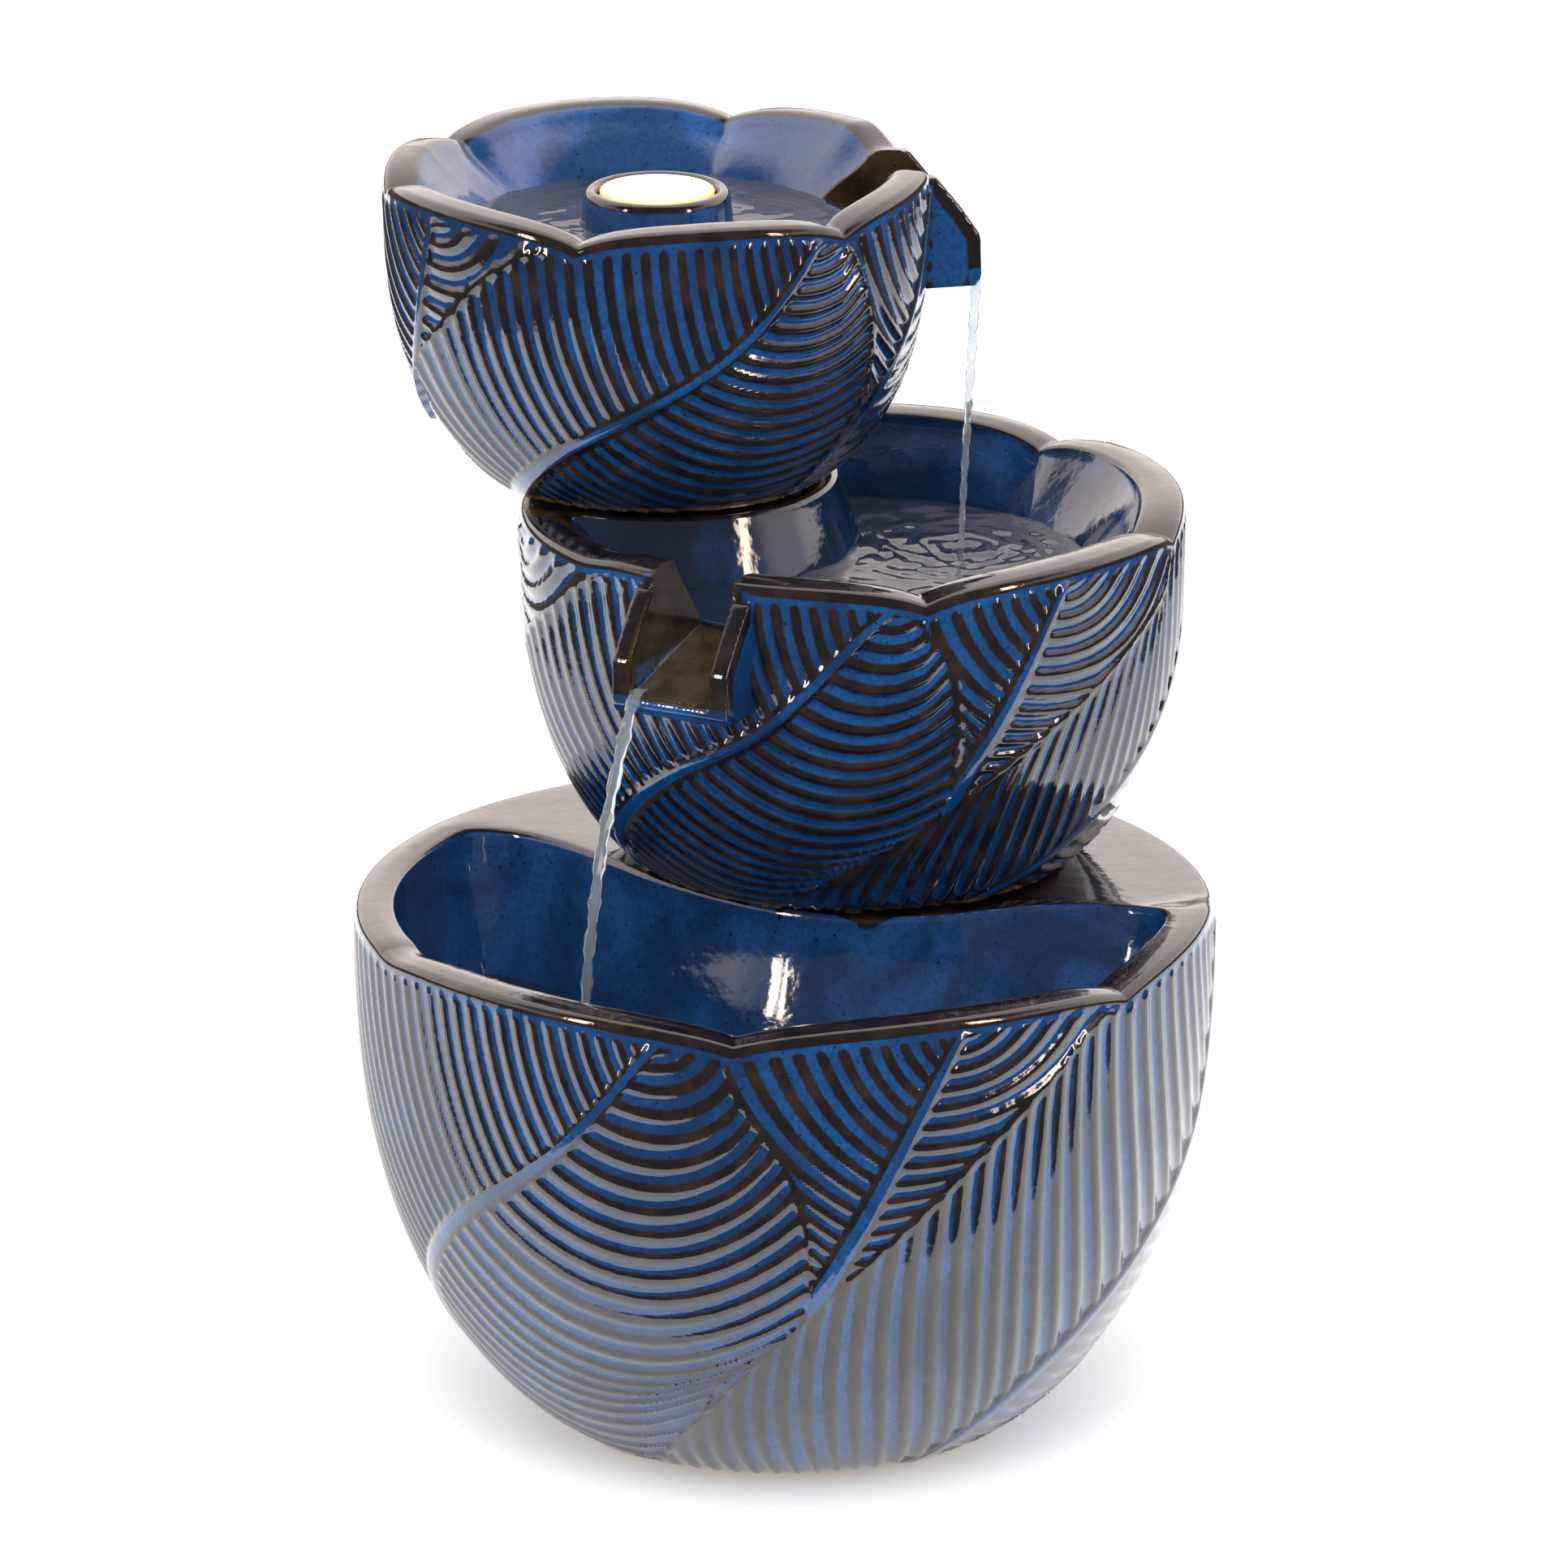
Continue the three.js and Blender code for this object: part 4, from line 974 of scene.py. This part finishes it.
def pool(name, outline, centre, level, strength, fall=None, steps=36):
    """A thin sheet of water inside an outline, as a closed solid with ripples on top."""
    rows = []
    for t in np.linspace(0.04, 1, steps):
        flat = np.array(centre) + (outline - centre) * t
        rows.append(np.column_stack([flat, np.full(len(flat), level - WATER_DEPTH)]))
    for t in np.linspace(1, 0.04, steps):
        flat = np.array(centre) + (outline - centre) * t
        height = level + ripples(flat[:, 0], flat[:, 1], strength, fall)
        rows.append(np.column_stack([flat, height]))
    return closed_grid(name, rows, [(*centre, level - WATER_DEPTH), (*centre, level)])


def collar_pool():
    angle = np.radians(np.linspace(-180, 180, 360, endpoint=False))
    centre = TOP.at
    rows = [ring(centre, angle, r, WATER["top"] - WATER_DEPTH) for r in np.linspace(31, 78.4, 30)]
    for radius in np.linspace(78.6, 31, 42):
        flat = ring(centre, angle, radius, 0)
        flat[:, 2] = WATER["top"] + ripples(flat[:, 0], flat[:, 1], 0.45, INLET_AT, 25)
        rows.append(flat)
    return closed_grid("top_pool", rows)


UPPER_STREAM = ((76, 119, 455), (79, 118, 450), (78, 113, 428), (76, 104, 396), (74, 94, 362),
                (73, 86, 338))
LOWER_STREAM = ((-57, -61, 326), (-60, -66, 322), (-66, -71, 298), (-72, -76, 268), (-76, -80, 240),
                (-79, -83, 210), (-81, -86, 157))


def stream(name, path, start, end, twist):
    """A falling thread of water that narrows and twists on its way down."""
    path = np.array(path, float)
    flat = curve(path[:, [0, 2]], 120)
    deep = curve(path[:, [1, 2]], 120)
    centre = np.column_stack([flat[:, 0], deep[:, 0], (flat[:, 1] + deep[:, 1]) / 2])
    turn = np.linspace(0, 2 * math.pi, 20, endpoint=False)
    rows = []
    for k, place in enumerate(centre):
        t = k / (len(centre) - 1)
        radius = start + (end - start) * t
        wobble = 1 + 0.18 * math.sin(k * 0.55) + 0.1 * math.sin(k * 1.37 + 1)
        wide = radius * wobble * np.cos(turn - twist * t)
        thin = radius * (0.62 + 0.2 * math.sin(k * 0.31)) * np.sin(turn - twist * t)
        rows.append(place + np.column_stack([wide, thin, 0 * turn]))
    rows = rows[::-1]
    return closed_grid(name, rows, [rows[0].mean(0), rows[-1].mean(0)])


def film(name, spout):
    """Water sliding over the floor of a spout and over its lip."""
    bowl, (out, side) = spout.bowl, heading(spout.angle)
    rim, root, slope = bowl.rim, spout.root, channel_slope(spout)
    across = np.linspace(-SPOUT_WIDTH / 2 + 1, SPOUT_WIDTH / 2 - 1, 26)
    top, low = [], []
    for u in np.linspace(root + 2, rim + 18, 40):
        floor = spout.floor + slope * max(0, u - root - SPOUT_LEVEL) + bowl.level
        flat = bowl.at + out * u + across[:, None] * side
        height = floor + 1.3 + 0.35 * np.sin(u * 0.5 + across * 0.9) + 0.3 * np.sin(across * 0.5 - u * 0.2)
        top.append(np.column_stack([flat, height]))
        low.append(np.column_stack([flat, np.full(len(across), floor - 0.6)]))
    rows = [np.vstack([t, b[::-1]]) for t, b in zip(top, low)]
    return closed_grid(name, rows, [rows[0].mean(0), rows[-1].mean(0)])


# ---------------------------------------------------------------- building the fountain
def finish_piece(obj, body, look, replaces=None):
    wear(obj, look)
    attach(obj, body)
    if replaces:
        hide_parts(replaces)
    return obj


charts = {}
# The fifth column is the painted light inside each bowl: how bright its inner glaze is painted for the
# light that reaches in
for bowl, leaves, make, body, node, inner_painted_light, spout_name in (
    (BASE, BASE_LEAVES, make_base, "base", "base_basin", 0.34, None),
    (MIDDLE, MIDDLE_LEAVES, make_middle, "middle_tier", "middle_bowl", 0.22, "middle"),
    (TOP, TOP_LEAVES, make_top, "top_tier", "top_bowl", 0.46, "top"),
):
    chart = Chart(bowl)
    charts[body] = chart
    height, ridge = relief(chart, leaves, 180)
    made = make(chart, height)
    spout = SPOUTS.get(spout_name)
    if spout_name == "middle":
        add_spout(made, spout, middle_basin(0))
    if spout_name == "top":
        inside = [(r, TOP.level + d) for r, d in TOP_INSIDE[::-1]]
        add_spout(made, spout, turned("basin", TOP.at, [*inside, (97, 520)]))
    paint(made, bowl, chart, ridge, inner_painted_light, spout)
    finish_piece(made, body, "glaze", replaces=node)

base_water = pushed(held_inside(well_loop(charts["base"]), BASE, WATER["base"]), -15)[::3]
middle_water = pushed(lune(charts["middle_tier"], *MIDDLE_LEVELS[2][1:]), 0.4)[::3]
for obj, body, look in (
    (pool("base_pool", base_water, (-8, -88), WATER["base"], 1.4, (-81, -86)), "base", "water"),
    (pool("middle_pool", middle_water, (70, 45), WATER["middle"], 1.0, (73, 86)), "middle_tier", "water"),
    (collar_pool(), "top_tier", "water"),
    (film("middle_film", SPOUTS["middle"]), "middle_tier", "film"),
    (film("top_film", SPOUTS["top"]), "top_tier", "film"),
    (stream("upper_stream", UPPER_STREAM, 2.0, 1.2, 5), "top_tier", "stream"),
    (stream("lower_stream", LOWER_STREAM, 2.6, 1.9, 9), "middle_tier", "stream"),
):
    obj.data.shade_smooth()
    finish_piece(obj, body, look)

LENS_PROFILE = ((23.5, 484.7), (23.5, 486.9), (22.7, 487.9), (14, 488.6), (1, 488.8))
LENS_BRIGHT = 20                       # radius of the bright disc inside the amber edge
lens = turned("glowing_lens", TOP.at, fine_profile(LENS_PROFILE, 1.2))
lens.data.shade_smooth()
place = np.array([vertex.co[:2] for vertex in lens.data.vertices]) / MM - TOP.at
store(lens, rim=smooth((np.hypot(*place.T) - LENS_BRIGHT) / 3.4))
finish_piece(lens, "top_tier", "lens", replaces="lamp_lens")

for look, names in NODE_LOOKS.items():
    for name in names:
        wear(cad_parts[name], look)


# ---------------------------------------------------------------- floor, light and camera
# The glaze mirrors only the stretch of floor round the fountain: x, then y, in millimetres.
FAR = 9000
MIRRORED = ((-1050, 1050), (-290, FAR))


def make_floor():
    look = Look("floor_paint")
    pale = look.mix(look.noise(3, 2), (0.93, 0.93, 0.93), (0.95, 0.95, 0.95))
    look.set(Base_Color=pale, Roughness=0.95, Emission_Color=pale, Emission_Strength=0.3)
    (left, right), (front, back) = MIRRORED
    for name, x0, x1, y0, y1 in (
        ("floor", left, right, front, back),
        ("floor_left", -FAR, left, front, back),
        ("floor_right", right, FAR, front, back),
        ("floor_front", -FAR, FAR, -FAR, front),
    ):
        floor = new_object(name, [(x0, y0, -0.2), (x1, y0, -0.2), (x1, y1, -0.2), (x0, y1, -0.2)],
                           [(0, 1, 2, 3)])
        floor.data.materials.append(look.material)
        floor.visible_glossy = name == "floor"


EVEN_GLOW, WALL_GLOW, DARK_GLOW = 1.12, 1.5, 0.12   # matt surfaces; bright and dark reflections
WARM_WHITE = (1, 0.89, 0.84)


def make_world():
    """Even light for matt surfaces; for reflections a bright room behind and beside, dark in front."""
    world = bpy.data.worlds.new("studio")
    bpy.context.scene.world = world
    world.use_nodes = True
    nodes = Nodes(world.node_tree)
    back = nodes.tree.nodes["Background"]
    x, y, z = nodes.node("SeparateXYZ", Vector=nodes.node("TexCoord").outputs["Generated"]).outputs
    behind = nodes.range(y, -0.22, 0.16)
    beside = nodes.range(nodes.math("ABSOLUTE", x, 0), 0.78, 0.93, 0, 0.65)
    wall = nodes.math("MULTIPLY", nodes.math("MAXIMUM", behind, beside), nodes.range(z, -0.02, 0.1))
    mirrored = nodes.math("ADD", nodes.math("MULTIPLY", wall, WALL_GLOW), DARK_GLOW)
    in_mirror = nodes.node("LightPath").outputs["Is Glossy Ray"]
    strength = nodes.node("Mix")
    for index, value in ((0, in_mirror), (2, EVEN_GLOW), (3, mirrored)):
        nodes.feed(strength.inputs[index], value)
    nodes.feed(back.inputs["Strength"], strength.outputs[0])
    nodes.feed(back.inputs["Color"], nodes.mix(in_mirror, (1, 1, 1), WARM_WHITE))


def aimed(name, data, place, target):
    """An object at a place that looks towards a target, both in metres."""
    obj = placed(name, data)
    obj.location = place
    obj.rotation_euler = (Vector(target) - Vector(place)).to_track_quat("-Z", "Y").to_euler()
    return obj


def add_light(name, place, target, size, power, colour=(1, 1, 1), glossy=True, diffuse=True):
    data = bpy.data.lights.new(name, "AREA")
    data.shape, data.size, data.size_y = "RECTANGLE", size[0], size[1]
    data.energy, data.color = power, colour
    lamp = aimed(name, data, place, target)
    lamp.visible_glossy, lamp.visible_diffuse = glossy, diffuse
    lamp.visible_camera = False


CAMERA_AT, CAMERA_TARGET = (0, -3.9186, 1.5544), (0, 0, 0.266)         # metres
LENS = 232.9                                                           # millimetres


def make_camera():
    data = bpy.data.cameras.new("camera")
    data.lens, data.sensor_width = LENS, 36
    bpy.context.scene.camera = aimed("camera", data, CAMERA_AT, CAMERA_TARGET)


make_floor()
make_world()
for name, side, width, power, colour in (
    ("right_softbox", 2.45, 0.34, 22, (1, 0.76, 0.58)),
    ("left_softbox", -2.45, 0.3, 32, (1, 0.78, 0.62)),
):
    add_light(name, (side, -1.85, 1.05), (0, 0, 0.3), (width, 1.3), power, colour, diffuse=False)
add_light("fill", (0, -2.2, 3.4), (0, 0, 0.2), (2.2, 2.2), 66, glossy=False)
make_camera()
bpy.context.scene.view_settings.view_transform = "Standard"
